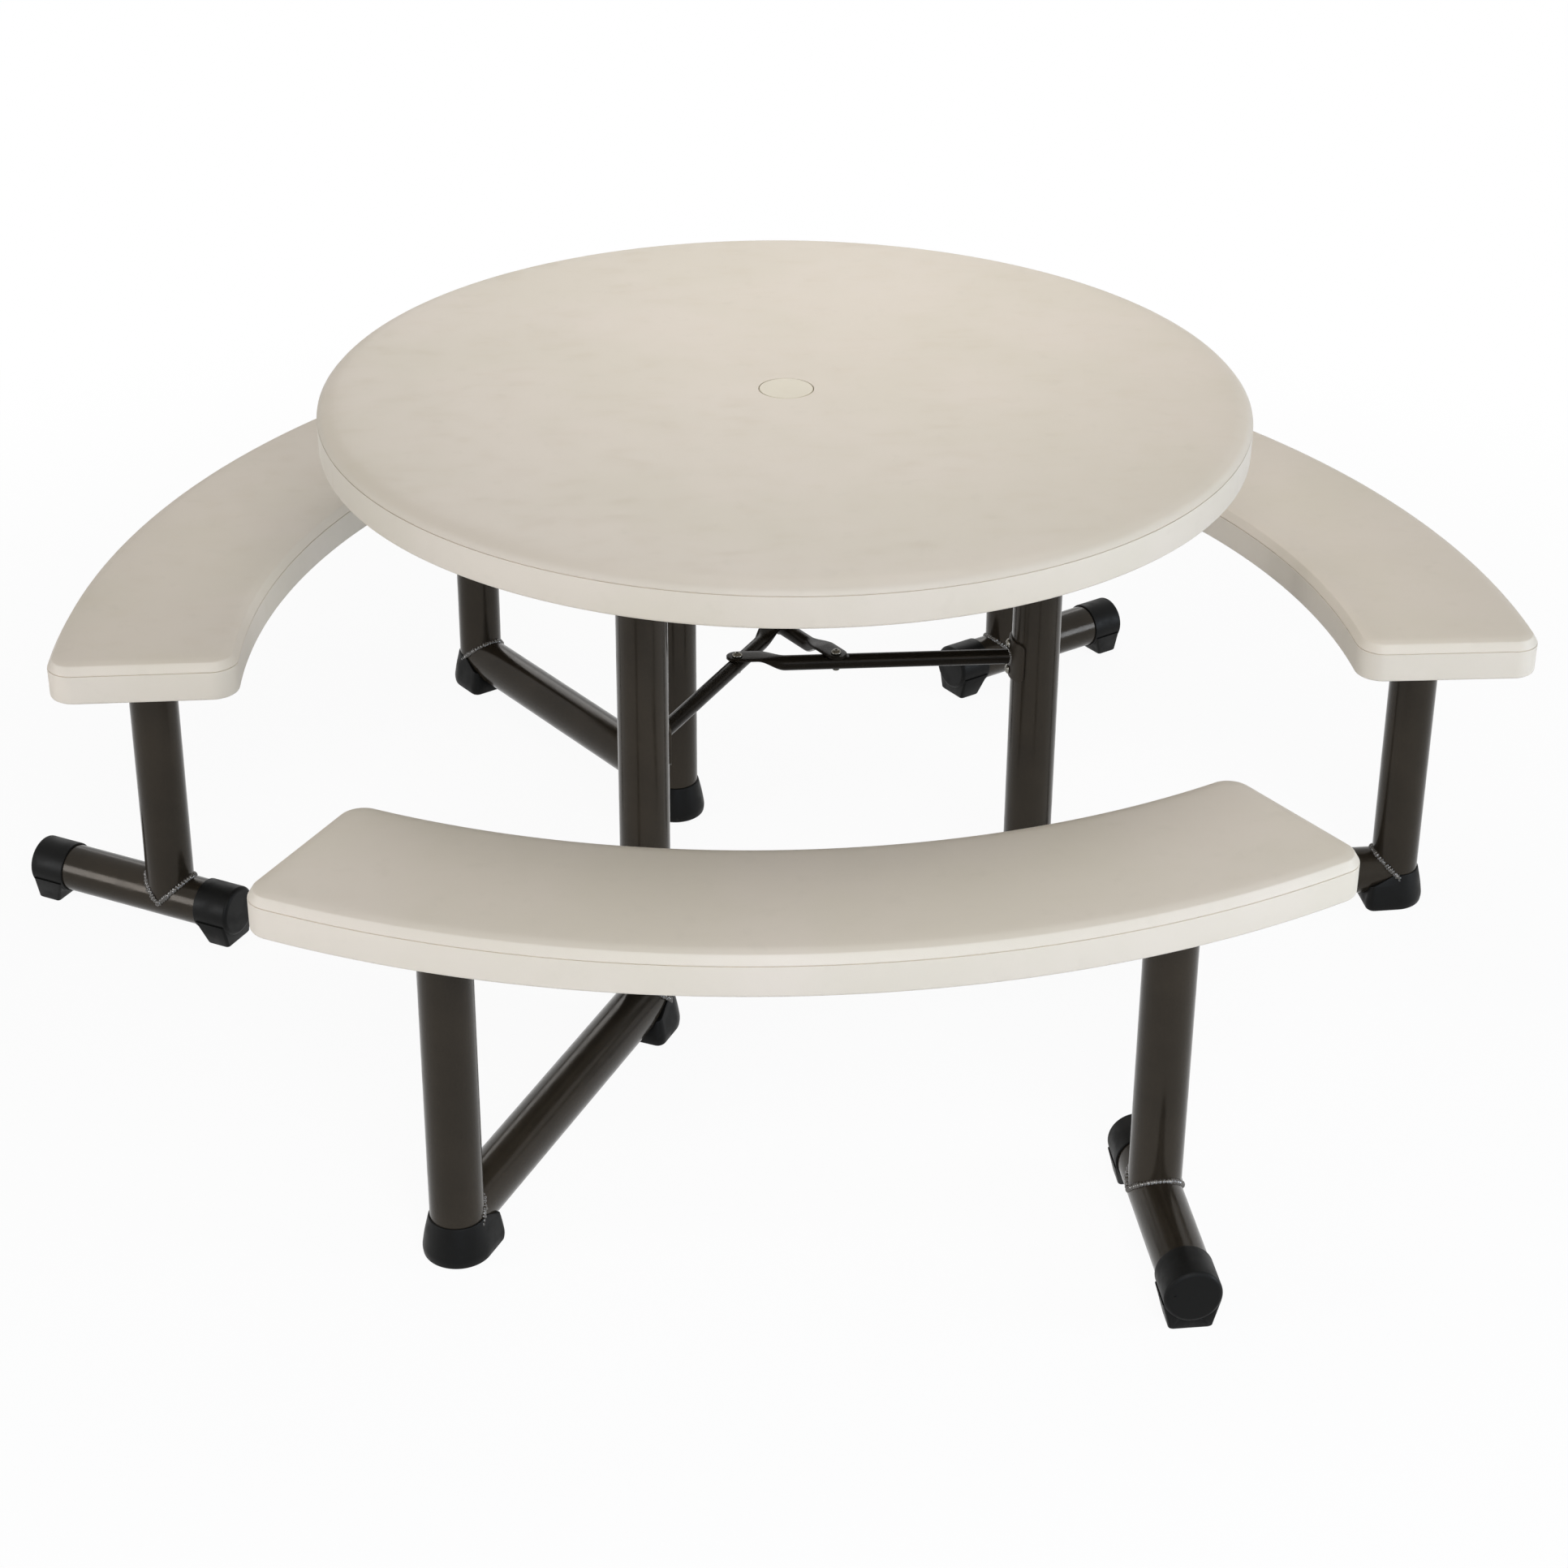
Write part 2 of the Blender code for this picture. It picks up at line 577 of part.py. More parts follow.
def foot_cap(stem, place):
    radius = TUBE_RADIUS + FOOT_CAP_WALL
    profile = [(0.0, 0.0), (radius - FOOT_CAP_ROUND, 0.0),
               (radius - FOOT_CAP_ROUND * 0.3, -FOOT_CAP_ROUND * 0.3), (radius, -FOOT_CAP_ROUND),
               (radius, -FOOT_CAP_LENGTH), (0.0, -FOOT_CAP_LENGTH)]
    cap = turned(f"{stem}_blank", profile, TUBE_SIDES, place)
    boolean(cap, pad_block(f"{stem}_pad", place), "UNION")
    start = place @ Vector((0, 0, -FOOT_CAP_END))
    return boolean(cap, bar_object(f"{stem}_bore", TUBE_RADIUS + SEAT_GAP, start,
                                   place @ Vector((0, 0, -FOOT_CAP_LENGTH * 2)), TUBE_SIDES,
                                   CUTTERS))


def pad_block(name, place):
    """A pad that stands on the floor and narrows downwards, in the cap's own frame."""
    bm = bmesh.new()
    bmesh.ops.create_cube(bm, size=1.0)
    outer_end = -FOOT_CAP_END
    for vert in bm.verts:
        low = vert.co.y < 0
        width = PAD_WIDTH if low else PAD_TOP_WIDTH
        length = PAD_LENGTH if low else PAD_TOP_LENGTH
        top = -GROUND_TUBE_HEIGHT * 0.25
        vert.co = Vector((math.copysign(width / 2, vert.co.x),
                          -GROUND_TUBE_HEIGHT if low else top,
                          outer_end if vert.co.z > 0 else outer_end - length))
    bm.transform(place)
    return object_from(mesh_from(bm, name), name, CUTTERS)


def section(place, half_width, half_thick, squareness):
    """A closed section of a formed tube, from round to flat with rounded edges."""
    points = []
    for i in range(BRACE_SIDES):
        angle = 2 * math.pi * (i + 0.5) / BRACE_SIDES
        x = math.copysign(abs(math.cos(angle)) ** (2 / squareness), math.cos(angle))
        y = math.copysign(abs(math.sin(angle)) ** (2 / squareness), math.sin(angle))
        points.append(place @ Vector((x * half_width, y * half_thick, 0.0)))
    return points


def brace_sections():
    """(distance, rise, half width, half thickness, squareness) along one brace."""
    flat = BRACE_REACH - TAB_LENGTH
    tube_end = flat - TAB_JOGGLE
    rows = [(TUBE_RADIUS, 0.0, BRACE_RADIUS, BRACE_RADIUS, 2.0),
            (tube_end, 0.0, BRACE_RADIUS, BRACE_RADIUS, 2.0)]
    for part in (0.25, 0.5, 0.75, 1.0):
        ease = part * part * (3 - 2 * part)
        rows.append((tube_end + TAB_JOGGLE * part, TAB_RISE * ease,
                     BRACE_RADIUS + (TAB_HALF_WIDTH - BRACE_RADIUS) * ease,
                     BRACE_RADIUS + (TAB_HALF_THICK - BRACE_RADIUS) * ease, 2 + 3 * ease))
    for turn in (0, 35, 60, 80):
        angle = math.radians(turn)
        rows.append((BRACE_REACH + TAB_HALF_WIDTH * math.sin(angle), TAB_RISE,
                     TAB_HALF_WIDTH * math.cos(angle), TAB_HALF_THICK, 5.0))
    return rows


def make_braces():
    bm = bmesh.new()
    rings = []
    base = at_height(TABLE_LEG, BRACE_HEIGHT)
    for distance, rise, half_width, half_thick, squareness in brace_sections():
        place = along(base + BRACE_RUN * distance + Vector((0, 0, rise)), BRACE_RUN)
        points = section(place, half_width, half_thick, squareness)
        rings.append([bm.verts.new(p) for p in points])
    for first, second in zip(rings, rings[1:]):
        for i in range(BRACE_SIDES):
            j = (i + 1) % BRACE_SIDES
            bm.faces.new((first[i], first[j], second[j], second[i]))
    bm.faces.new(list(reversed(rings[0])))
    bm.faces.new(rings[-1])
    brace = object_from(mesh_from(bm, "brace_blank"), "brace_blank", CUTTERS)
    saddle_outside = TUBE_RADIUS + SEAT_GAP + SADDLE_WALL
    boolean(brace, leg_cutter("brace_end_cut", TABLE_LEG, saddle_outside + SEAT_GAP,
                              BRACE_HEIGHT - SADDLE_HEIGHT, BRACE_HEIGHT + SADDLE_HEIGHT))
    bm = bmesh.new()
    for distance in (BRACE_CROSSING, BRACE_REACH):
        low = base + BRACE_RUN * distance - Vector((0, 0, 3 * BRACE_RADIUS))
        round_bar(bm, BOLT_RADIUS + HOLE_GAP, low, low + Vector((0, 0, 6 * BRACE_RADIUS)), 10)
    boolean(brace, object_from(mesh_from(bm, "brace_rivet_holes"), "brace_rivet_holes", CUTTERS))
    boolean(brace, tab_seat_cutter(base))
    unit_copies("brace", finished_mesh(brace, "brace"), "bronze")


def tab_seat_cutter(base):
    """The block that flattens a brace's top where the next brace's tab lies on it."""
    bm = bmesh.new()
    bmesh.ops.create_cube(bm, size=1.0)
    bm.transform(Matrix.Diagonal((2.4 * TAB_HALF_WIDTH, 4 * BRACE_RADIUS, 2 * BRACE_RADIUS, 1.0)))
    seat = base + BRACE_RUN * BRACE_CROSSING
    middle = BRACE_HEIGHT + 2 * BRACE_RADIUS - TAB_SEAT_DEPTH
    bm.transform(Matrix.Translation(at_height(seat, middle))
                 @ Matrix.Rotation(math.atan2(BRACE_RUN.y, BRACE_RUN.x), 4, "Z"))
    return object_from(mesh_from(bm, "tab_seat"), "tab_seat", CUTTERS)


def make_saddles():
    low, high = BRACE_HEIGHT - SADDLE_HEIGHT / 2, BRACE_HEIGHT + SADDLE_HEIGHT / 2
    inside, outside = TUBE_RADIUS + SEAT_GAP, TUBE_RADIUS + SEAT_GAP + SADDLE_WALL
    saddle = leg_cutter("saddle_blank", TABLE_LEG, outside, low, high)
    boolean(saddle, leg_cutter("saddle_bore", TABLE_LEG, inside, low - 0.01, high + 0.01))
    bm = bmesh.new()
    bmesh.ops.create_cube(bm, size=0.2)
    turn = Matrix.Rotation(math.atan2(BRACE_RUN.y, BRACE_RUN.x), 4, "Z")
    bm.transform(Matrix.Translation(at_height(TABLE_LEG, BRACE_HEIGHT)) @ turn
                 @ Matrix.Translation((0.1 + SADDLE_EDGE, 0.0, 0.0)))
    boolean(saddle, object_from(mesh_from(bm, "saddle_side"), "saddle_side", CUTTERS), "INTERSECT")
    bm = bmesh.new()
    for rise in (-SADDLE_BOLT_RISE, SADDLE_BOLT_RISE):
        start = at_height(TABLE_LEG, BRACE_HEIGHT + rise) + BRACE_RUN * TUBE_RADIUS / 2
        round_bar(bm, BOLT_RADIUS + HOLE_GAP, start, start + BRACE_RUN * TUBE_RADIUS, 8)
    boolean(saddle, object_from(mesh_from(bm, "saddle_holes"), "saddle_holes", CUTTERS))
    unit_copies("brace_saddle", finished_mesh(saddle, "brace_saddle"), "bronze")


def saddle_bolt(rise):
    """A domed bolt through the saddle and the leg's wall, held by a rivet nut inside."""
    outside = TUBE_RADIUS + SADDLE_WALL + 2 * SEAT_GAP
    bore = (TUBE_RADIUS - TUBE_WALL) * math.cos(math.pi / TUBE_SIDES)
    inside = math.sqrt(bore ** 2 - RIVET_NUT_RADIUS ** 2) - SEAT_GAP
    profile = [(0.0, outside + BOLT_HEAD), (BOLT_HEAD_RADIUS * 0.6, outside + BOLT_HEAD * 0.8),
               (BOLT_HEAD_RADIUS, outside + BOLT_HEAD * 0.3), (BOLT_HEAD_RADIUS, outside),
               (BOLT_RADIUS, outside), (BOLT_RADIUS, inside), (RIVET_NUT_RADIUS, inside),
               (RIVET_NUT_RADIUS, inside - RIVET_NUT_LENGTH), (0.0, inside - RIVET_NUT_LENGTH)]
    place = along(at_height(TABLE_LEG, BRACE_HEIGHT + rise), BRACE_RUN)
    return finished_mesh(turned("saddle_bolt_blank", profile, 10, place), "saddle_bolt")


def crossing_rivet():
    """The upright rivet that clamps one brace's tab to the next brace."""
    head = BRACE_HEIGHT + TAB_RISE + TAB_HALF_THICK + SEAT_GAP
    low = BRACE_HEIGHT - BRACE_RADIUS - SEAT_GAP
    profile = [(0.0, head + BOLT_HEAD), (BOLT_HEAD_RADIUS * 0.6, head + BOLT_HEAD * 0.8),
               (BOLT_HEAD_RADIUS, head + BOLT_HEAD * 0.3), (BOLT_HEAD_RADIUS, head),
               (BOLT_RADIUS, head), (BOLT_RADIUS, low), (RIVET_END_RADIUS, low),
               (RIVET_END_RADIUS * 0.8, low - RIVET_END), (0.0, low - RIVET_END)]
    place = Matrix.Translation(at_height(TABLE_LEG, 0.0) + BRACE_RUN * BRACE_REACH)
    return finished_mesh(turned("crossing_rivet_blank", profile, 10, place), "crossing_rivet")


def plate_mesh(name, centre, facing, size, underside):
    """A square steel plate with clipped corners and four screw holes."""
    bm = bmesh.new()
    bmesh.ops.create_cube(bm, size=1.0)
    upright = [e for e in bm.edges if abs(e.verts[0].co.z - e.verts[1].co.z) > 0.5]
    bmesh.ops.scale(bm, vec=(size, size, PLATE_THICK), verts=bm.verts)
    bmesh.ops.bevel(bm, geom=upright, offset=0.008, segments=1, affect="EDGES")
    middle = underside - SEAT_GAP - PLATE_THICK / 2
    bm.transform(Matrix.Translation(at_height(centre, middle)) @ Matrix.Rotation(facing, 4, "Z"))
    obj = object_from(mesh_from(bm, name), name, CUTTERS)
    bm = bmesh.new()
    drill(bm, plate_corners(centre, facing, size), SCREW_RADIUS + HOLE_GAP,
          underside - 2 * PLATE_THICK, 4 * PLATE_THICK, 6)
    boolean(obj, object_from(mesh_from(bm, f"{name}_holes"), f"{name}_holes", CUTTERS))
    return finished_mesh(obj, name)


def make_plates_and_fasteners():
    plate = plate_mesh("table_leg_plate", TABLE_LEG, TABLE_PLATE_FACING, TABLE_PLATE,
                       TOP_UNDERSIDE)
    unit_copies("table_leg_plate", plate, "bronze")
    plate = plate_mesh("bench_leg_plate", BENCH_LEG, BENCH_PLATE_FACING, BENCH_PLATE,
                       BENCH_UNDERSIDE)
    unit_copies("bench_leg_plate", plate, "bronze")
    for unit, _ in UNITS:
        place, _, facing = t_leg(unit)
        plate = plate_mesh("t_post_plate", place, facing, BENCH_PLATE, BENCH_UNDERSIDE)
        place_part(f"t_post_plate_{unit}", plate, "bronze", UNIT_EMPTIES[unit])
    unit_copies("upper_saddle_bolt", saddle_bolt(SADDLE_BOLT_RISE), "zinc")
    unit_copies("lower_saddle_bolt", saddle_bolt(-SADDLE_BOLT_RISE), "zinc")
    unit_copies("crossing_rivet", crossing_rivet(), "zinc")


def stand_on_origin():
    """Moves the object so that the middle of its box's bottom is the origin."""
    bpy.context.view_layer.update()
    corners = [obj.matrix_world @ vert.co
               for obj in PARTS.objects if obj.type == "MESH" for vert in obj.data.vertices]
    middle = [(min(c[i] for c in corners) + max(c[i] for c in corners)) / 2 for i in (0, 1)]
    lowest = min(c.z for c in corners)
    ROOT.location = (-middle[0], -middle[1], -lowest)
    bpy.context.view_layer.update()
    print("table axis at", [round(v, 5) for v in ROOT.location])


make_tabletop()
make_umbrella_cap()
make_benches()
make_upright_legs()
make_low_tubes()
make_boot("table_leg_boot", TABLE_LEG, -GROUND_RUN)
make_boot("bench_leg_boot", BENCH_LEG, GROUND_RUN)
make_foot_caps()
make_braces()
make_saddles()
make_plates_and_fasteners()
stand_on_origin()
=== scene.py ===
# %% [markdown]
# # A round picnic table with three curved benches
#
# The real table is a blow-moulded plastic top and three plastic benches, screwed to a frame of
# cut and welded steel tube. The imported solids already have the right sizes. This script gives
# every one of them a finer skin, a finish made of shader nodes, light, and the camera.
# First the solids are loaded, because every later piece is placed by them.

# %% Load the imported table
import math

import bmesh
import bpy
from mathutils import Matrix, Vector, noise


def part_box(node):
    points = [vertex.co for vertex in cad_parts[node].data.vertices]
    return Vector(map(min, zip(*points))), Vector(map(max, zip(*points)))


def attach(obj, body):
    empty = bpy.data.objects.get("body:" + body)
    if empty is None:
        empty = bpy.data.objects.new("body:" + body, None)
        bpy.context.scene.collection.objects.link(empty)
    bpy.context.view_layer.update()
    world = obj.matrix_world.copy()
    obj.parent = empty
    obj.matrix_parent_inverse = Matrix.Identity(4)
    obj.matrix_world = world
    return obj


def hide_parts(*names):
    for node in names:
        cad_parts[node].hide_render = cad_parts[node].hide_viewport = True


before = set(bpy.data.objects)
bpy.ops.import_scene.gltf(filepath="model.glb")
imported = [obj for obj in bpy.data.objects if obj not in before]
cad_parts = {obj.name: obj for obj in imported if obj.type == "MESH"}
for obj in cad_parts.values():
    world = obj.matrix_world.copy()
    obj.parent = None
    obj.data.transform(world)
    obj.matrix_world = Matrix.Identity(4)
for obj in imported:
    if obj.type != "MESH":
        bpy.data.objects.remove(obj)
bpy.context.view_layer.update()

# %% [markdown]
# ## Sizes
#
# A maker would read these from the drawing. They are in metres and degrees, and the same as those
# of the solids, so each fine piece lies exactly where its solid lies. A leg's turn is counted from
# straight ahead of its bench, and pieces that touch keep a gap of 0.3 mm, as the solids do.

# %% Heights, radii and places
TOP_Z, TOP_RADIUS, TOP_DEEP = 0.735, 0.559, 0.051
SEAT_Z, SEAT_DEEP = 0.465, 0.051
PANEL = 0.034  # from a moulding's face down to its recessed underside
TUBE, WALL, GAP = 0.0302, 0.0020, 0.0003
RAIL_Z = 0.0435  # the middle of the ground tubes and foot tubes
BRACE_Z, BRACE, BRACE_TURN = 0.384, 0.0096, 6.5
TABLE_LEG_OUT, TABLE_LEG_TURN = 0.314, 36.2
BENCH_LEG_OUT, BENCH_LEG_TURN = 1.090, 20.85
PLATE, TABLE_PLATE, BENCH_PLATE = 0.0030, 0.110, 0.090
BOLT_HOLE, BOLT_RISE = 0.0034, 0.0175  # the saddle bolts stand above and below the brace


def polar(radius, degrees):
    """A point on the floor at this distance and compass angle from the origin."""
    turn = math.radians(degrees)
    return Vector((radius * math.cos(turn), radius * math.sin(turn), 0.0))


def raised(point, height):
    return Vector((point.x, point.y, height))


BENCH_AXIS = Vector((-0.023, 0.324, 0.0))
TABLE_LEG = polar(TABLE_LEG_OUT, -90 - TABLE_LEG_TURN)
BENCH_LEG = BENCH_AXIS + polar(BENCH_LEG_OUT, -90 - BENCH_LEG_TURN)
RAIL_RUN = (TABLE_LEG - BENCH_LEG).normalized()
BRACE_RUN = polar(1.0, 90 - TABLE_LEG_TURN + BRACE_TURN)
TOP_UNDER, SEAT_UNDER = TOP_Z - PANEL, SEAT_Z - PANEL
low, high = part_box("tabletop")
AXIS = Vector(((low.x + high.x) / 2, (low.y + high.y) / 2, 0.0))
print("the table's axis stands at", [round(v, 4) for v in AXIS])

# %% [markdown]
# ## Three units
#
# The frame and benches are one unit repeated three times round the table's axis. A unit is made
# once, as the front one with the axis at the origin, and each copy gets its own turned mesh. A
# shared mesh would be lighter, but then the grain of the finish would repeat on every copy.
#
# The units aren't quite equal. Whoever puts the table together bolts the T legs on by eye, so
# each stands a little nearer or further out and its foot is turned a degree or two.

# %% The units' places and their T legs
UNITS = {"front": 0, "right": 120, "left": 240}
UNIT_PLACE = {
    unit: Matrix.Translation(AXIS) @ Matrix.Rotation(math.radians(degrees), 4, "Z")
    for unit, degrees in UNITS.items()
}
T_LEG_SETTINGS = {"front": (0.0, 0.0, 2.2), "right": (0.020, 1.6, 0.6), "left": (-0.003, 0.0, 0.0)}


def t_leg(unit):
    """A T leg's place on the floor, the direction of its foot, and the facing of its plate."""
    drawn_in, nearer_end, turn = T_LEG_SETTINGS[unit]
    facing = -90 + BENCH_LEG_TURN + nearer_end
    return BENCH_AXIS + polar(BENCH_LEG_OUT - drawn_in, facing), polar(1.0, -90 + turn), facing


for unit in UNITS:
    print(unit, "T leg at", [round(v, 3) for v in t_leg(unit)[0]])


def aimed(origin, forward, up=(0, 0, 1)):
    """A frame at origin whose Z runs forward and whose Y is as near to up as it can be."""
    z_axis = Vector(forward).normalized()
    x_axis = Vector(up).cross(z_axis).normalized()
    y_axis = z_axis.cross(x_axis)
    turn = Matrix((x_axis, y_axis, z_axis)).transposed().to_4x4()
    return Matrix.Translation(origin) @ turn


# %% [markdown]
# ## Skins from rings
#
# Nearly every piece here is a section carried along a line: a lathe turns a profile round an
# axis, a tube carries a circle along a run, and a bench carries its edge round an outline. So
# one helper joins a list of rings into a skin. Corners of a profile are drawn as straight lines
# first and then softened, the way a mould maker puts a radius on every edge.

# %% Skins, softened profiles and lathes
def skin(rings, loop=False):
    """Joins rings of points into one closed skin. A ring of a single point closes to a tip."""
    bm = bmesh.new()
    rows = [[bm.verts.new(point) for point in ring] for ring in rings]
    pairs = list(zip(rows, rows[1:]))
    if loop:
        pairs.append((rows[-1], rows[0]))
    for first, second in pairs:
        count = max(len(first), len(second))
        for i in range(count):
            j = (i + 1) % count
            if len(first) == 1:
                bm.faces.new((first[0], second[j], second[i]))
            elif len(second) == 1:
                bm.faces.new((first[i], first[j], second[0]))
            else:
                bm.faces.new((first[i], first[j], second[j], second[i]))
    if not loop:
        for row in (rows[0], rows[-1]):
            if len(row) > 2:
                bm.faces.new(row)
    bmesh.ops.recalc_face_normals(bm, faces=bm.faces)
    return bm


def soften(corners, steps=6):
    """A line through (across, up, reach) corners, each rounded over its own reach."""
    line = []
    for i, (across, up, reach) in enumerate(corners):
        here = Vector((across, up))
        if reach == 0 or i in (0, len(corners) - 1):
            line.append(here)
            continue
        before = Vector(corners[i - 1][:2]) - here
        after = Vector(corners[i + 1][:2]) - here
        reach = min(reach, before.length * 0.49, after.length * 0.49)
        start, end = here + before.normalized() * reach, here + after.normalized() * reach
        for step in range(steps + 1):
            t = step / steps
            line.append(start * (1 - t) ** 2 + here * (2 * t * (1 - t)) + end * t ** 2)
    return line


def circle(radius, height, sides):
    if radius < 1e-7:
        return [Vector((0.0, 0.0, height))]
    return [Vector((radius * math.cos(2 * math.pi * i / sides),
                    radius * math.sin(2 * math.pi * i / sides), height)) for i in range(sides)]


def lathe(profile, sides, place=None, loop=False):
    """Turns a profile of (radius, height) points into a skin, then moves it to its place."""
    bm = skin([circle(r, z, sides) for r, z in profile], loop)
    if place is not None:
        bm.transform(place)
    return bm


def rod(radius, start, end, sides, place):
    """A plain round cutter along the place's Z, from one height to another."""
    return lathe([(0.0, start), (radius, start), (radius, end), (0.0, end)], sides, place)


# %% [markdown]
# ## From skin to piece
#
# Holes and recesses are cut with Boolean modifiers, and hard edges get a small bevel, because a
# real edge always catches a thin line of light. The modifiers are applied at once, so a finished
# piece is plain mesh that exports without surprises. Each piece then rides on its body of the
# packed table and stands for the solid that it covers.

# %% Cuts, bevels and placing
def evaluated(obj):
    """The object's mesh with its modifiers applied. The object itself is removed."""
    graph = bpy.context.evaluated_depsgraph_get()
    mesh = bpy.data.meshes.new_from_object(obj.evaluated_get(graph))
    bpy.data.objects.remove(obj, do_unlink=True)
    return mesh


def shaped(bm, cuts=(), joins=(), bevel=0.0, bevel_angle=35, sharp=32):
    """A mesh from a skin, with other skins cut away or joined on and its edges bevelled."""
    def as_object(skin_bm, name):
        mesh = bpy.data.meshes.new(name)
        skin_bm.to_mesh(mesh)
        skin_bm.free()
        obj = bpy.data.objects.new(name, mesh)
        bpy.context.scene.collection.objects.link(obj)
        return obj

    body = as_object(bm, "body_of_piece")
    tools = []
    for operation, skins in (("UNION", joins), ("DIFFERENCE", cuts)):
        for tool_bm in skins:
            tools.append(as_object(tool_bm, "tool"))
            step = body.modifiers.new("step", "BOOLEAN")
            step.operation, step.object = operation, tools[-1]
    if bevel:
        edge = body.modifiers.new("edge", "BEVEL")
        edge.width, edge.segments = bevel, 2
        edge.limit_method, edge.angle_limit = "ANGLE", math.radians(bevel_angle)
    mesh = evaluated(body)
    for tool in tools:
        bpy.data.objects.remove(tool, do_unlink=True)
    mesh.shade_smooth()
    mesh.set_sharp_from_angle(angle=math.radians(sharp))
    return mesh


def piece(name, mesh, finish, solids=(), body="table"):
    """Puts one finished piece into the scene in place of the solids that it stands for."""
    obj = bpy.data.objects.new(name, mesh)
    bpy.context.scene.collection.objects.link(obj)
    mesh.materials.clear()
    mesh.materials.append(finish)
    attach(obj, body)
    if solids:
        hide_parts(*solids)


def three(stem, mesh, finish, solid=None):
    """A piece in each of the three units, from one mesh or from a function of the unit."""
    for unit, place in UNIT_PLACE.items():
        copy = mesh(unit) if callable(mesh) else mesh.copy()
        copy.transform(place)
        piece(f"{stem}_{unit}", copy, finish, [f"{solid}_{unit}"] if solid else ())
    print(stem, "x 3,", len(copy.polygons), "faces each")


# %% [markdown]
# ## Writing shader maths as sums
#
# A finish is a small network of nodes. Joining them by hand hides what the network computes, so
# a wire from a node is wrapped in a class that understands + - * / and adds the Math node for
# each sum. Everything else goes through one method that makes any node from its type, its
# settings and what feeds its sockets.

# %% The wire and the finish
class Wire:
    """A node's output that can stand in a Python sum."""

    def __init__(self, finish, socket):
        self.finish, self.socket = finish, socket

    def math(self, operation, first, second):
        return self.finish.node("ShaderNodeMath", {"operation": operation}, {0: first, 1: second})

    def __add__(self, other):
        return self.math("ADD", self, other)

    def __sub__(self, other):
        return self.math("SUBTRACT", self, other)

    def __rsub__(self, other):
        return self.math("SUBTRACT", other, self)

    def __mul__(self, other):
        return self.math("MULTIPLY", self, other)

    __radd__, __rmul__ = __add__, __mul__

    def larger(self, other):
        return self.math("MAXIMUM", self, other)

    def above(self, start, end):
        """0 below start, 1 above end, and smooth between them."""
        return self.finish.node("ShaderNodeMapRange", {"interpolation_type": "SMOOTHSTEP"},
                                {"Value": self, "From Min": start, "From Max": end})


class Finish:
    """A material and the few kinds of node that the finishes share."""

    def __init__(self, name, roughness, metallic=0.0, ior=1.5):
        self.material = bpy.data.materials.new(name)
        self.material.use_nodes = True
        self.tree = self.material.node_tree
        self.surface = self.tree.nodes["Principled BSDF"]
        self.surface.inputs["Roughness"].default_value = roughness
        self.surface.inputs["Metallic"].default_value = metallic
        self.surface.inputs["IOR"].default_value = ior

    def node(self, kind, settings=None, sockets=None, output=0):
        made = self.tree.nodes.new(kind)
        for name, value in (settings or {}).items():
            setattr(made, name, value)
        for name, value in (sockets or {}).items():
            if isinstance(value, Wire):
                self.tree.links.new(value.socket, made.inputs[name])
            else:
                made.inputs[name].default_value = value
        return Wire(self, made.outputs[output])

    def place(self):
        """Where the surface is, in the piece's own metres."""
        return self.node("ShaderNodeTexCoord", output="Object")

    def part_of(self, vector, axis):
        return self.node("ShaderNodeSeparateXYZ", sockets={"Vector": vector}, output=axis)

    def stretched(self, x, y, z):
        return self.node("ShaderNodeMapping", {"vector_type": "POINT"},
                         {"Vector": self.place(), "Scale": (x, y, z)})

    def cloud(self, scale, detail=2.0, vector=None):
        """Soft noise around 0.5, at so many features per metre."""
        return self.node("ShaderNodeTexNoise", None,
                         {"Vector": vector or self.place(), "Scale": scale, "Detail": detail})

    def cells(self, scale):
        """The distance to the middle of the nearest of so many cells per metre."""
        return self.node("ShaderNodeTexVoronoi", None, {"Vector": self.place(), "Scale": scale})

    def blend(self, share, first, second):
        """From the first colour to the second as share goes from 0 to 1."""
        first, second = [c if isinstance(c, Wire) else (*c, 1.0) for c in (first, second)]
        return self.node("ShaderNodeMix", {"data_type": "RGBA"},
                         {"Factor": share, 6: first, 7: second}, output=2)

    def feed(self, name, wire):
        self.tree.links.new(wire.socket, self.surface.inputs[name])

    def relief(self, height, depth):
        """Height in units of depth, in metres, that tilts the surface's normal."""
        bump = self.node("ShaderNodeBump", None, {"Height": height, "Strength": 1.0,
                                                  "Distance": depth})
        self.feed("Normal", bump)


def srgb(red, green, blue):
    """A colour as a paint chart gives it, turned into the linear light that shaders use."""
    def linear(value):
        value /= 255
        return value / 12.92 if value <= 0.04045 else ((value + 0.055) / 1.055) ** 2.4
    return tuple(linear(value) for value in (red, green, blue))


print("a mid almond is", [round(v, 3) for v in srgb(212, 206, 193)], "in linear light")

# %% [markdown]
# ## Almond plastic
#
# The top and benches are blow-moulded polyethylene, dyed through. It is never quite even: it is
# a little warmer in some places, the mould's sand-blasted grain breaks up the gloss, and worn or
# dusty spots are rougher. A picture texture would repeat, so three sizes of noise do it: clouds
# of a hand's width for the tint, a fine grain for the relief, and faint scuffs for the gloss.

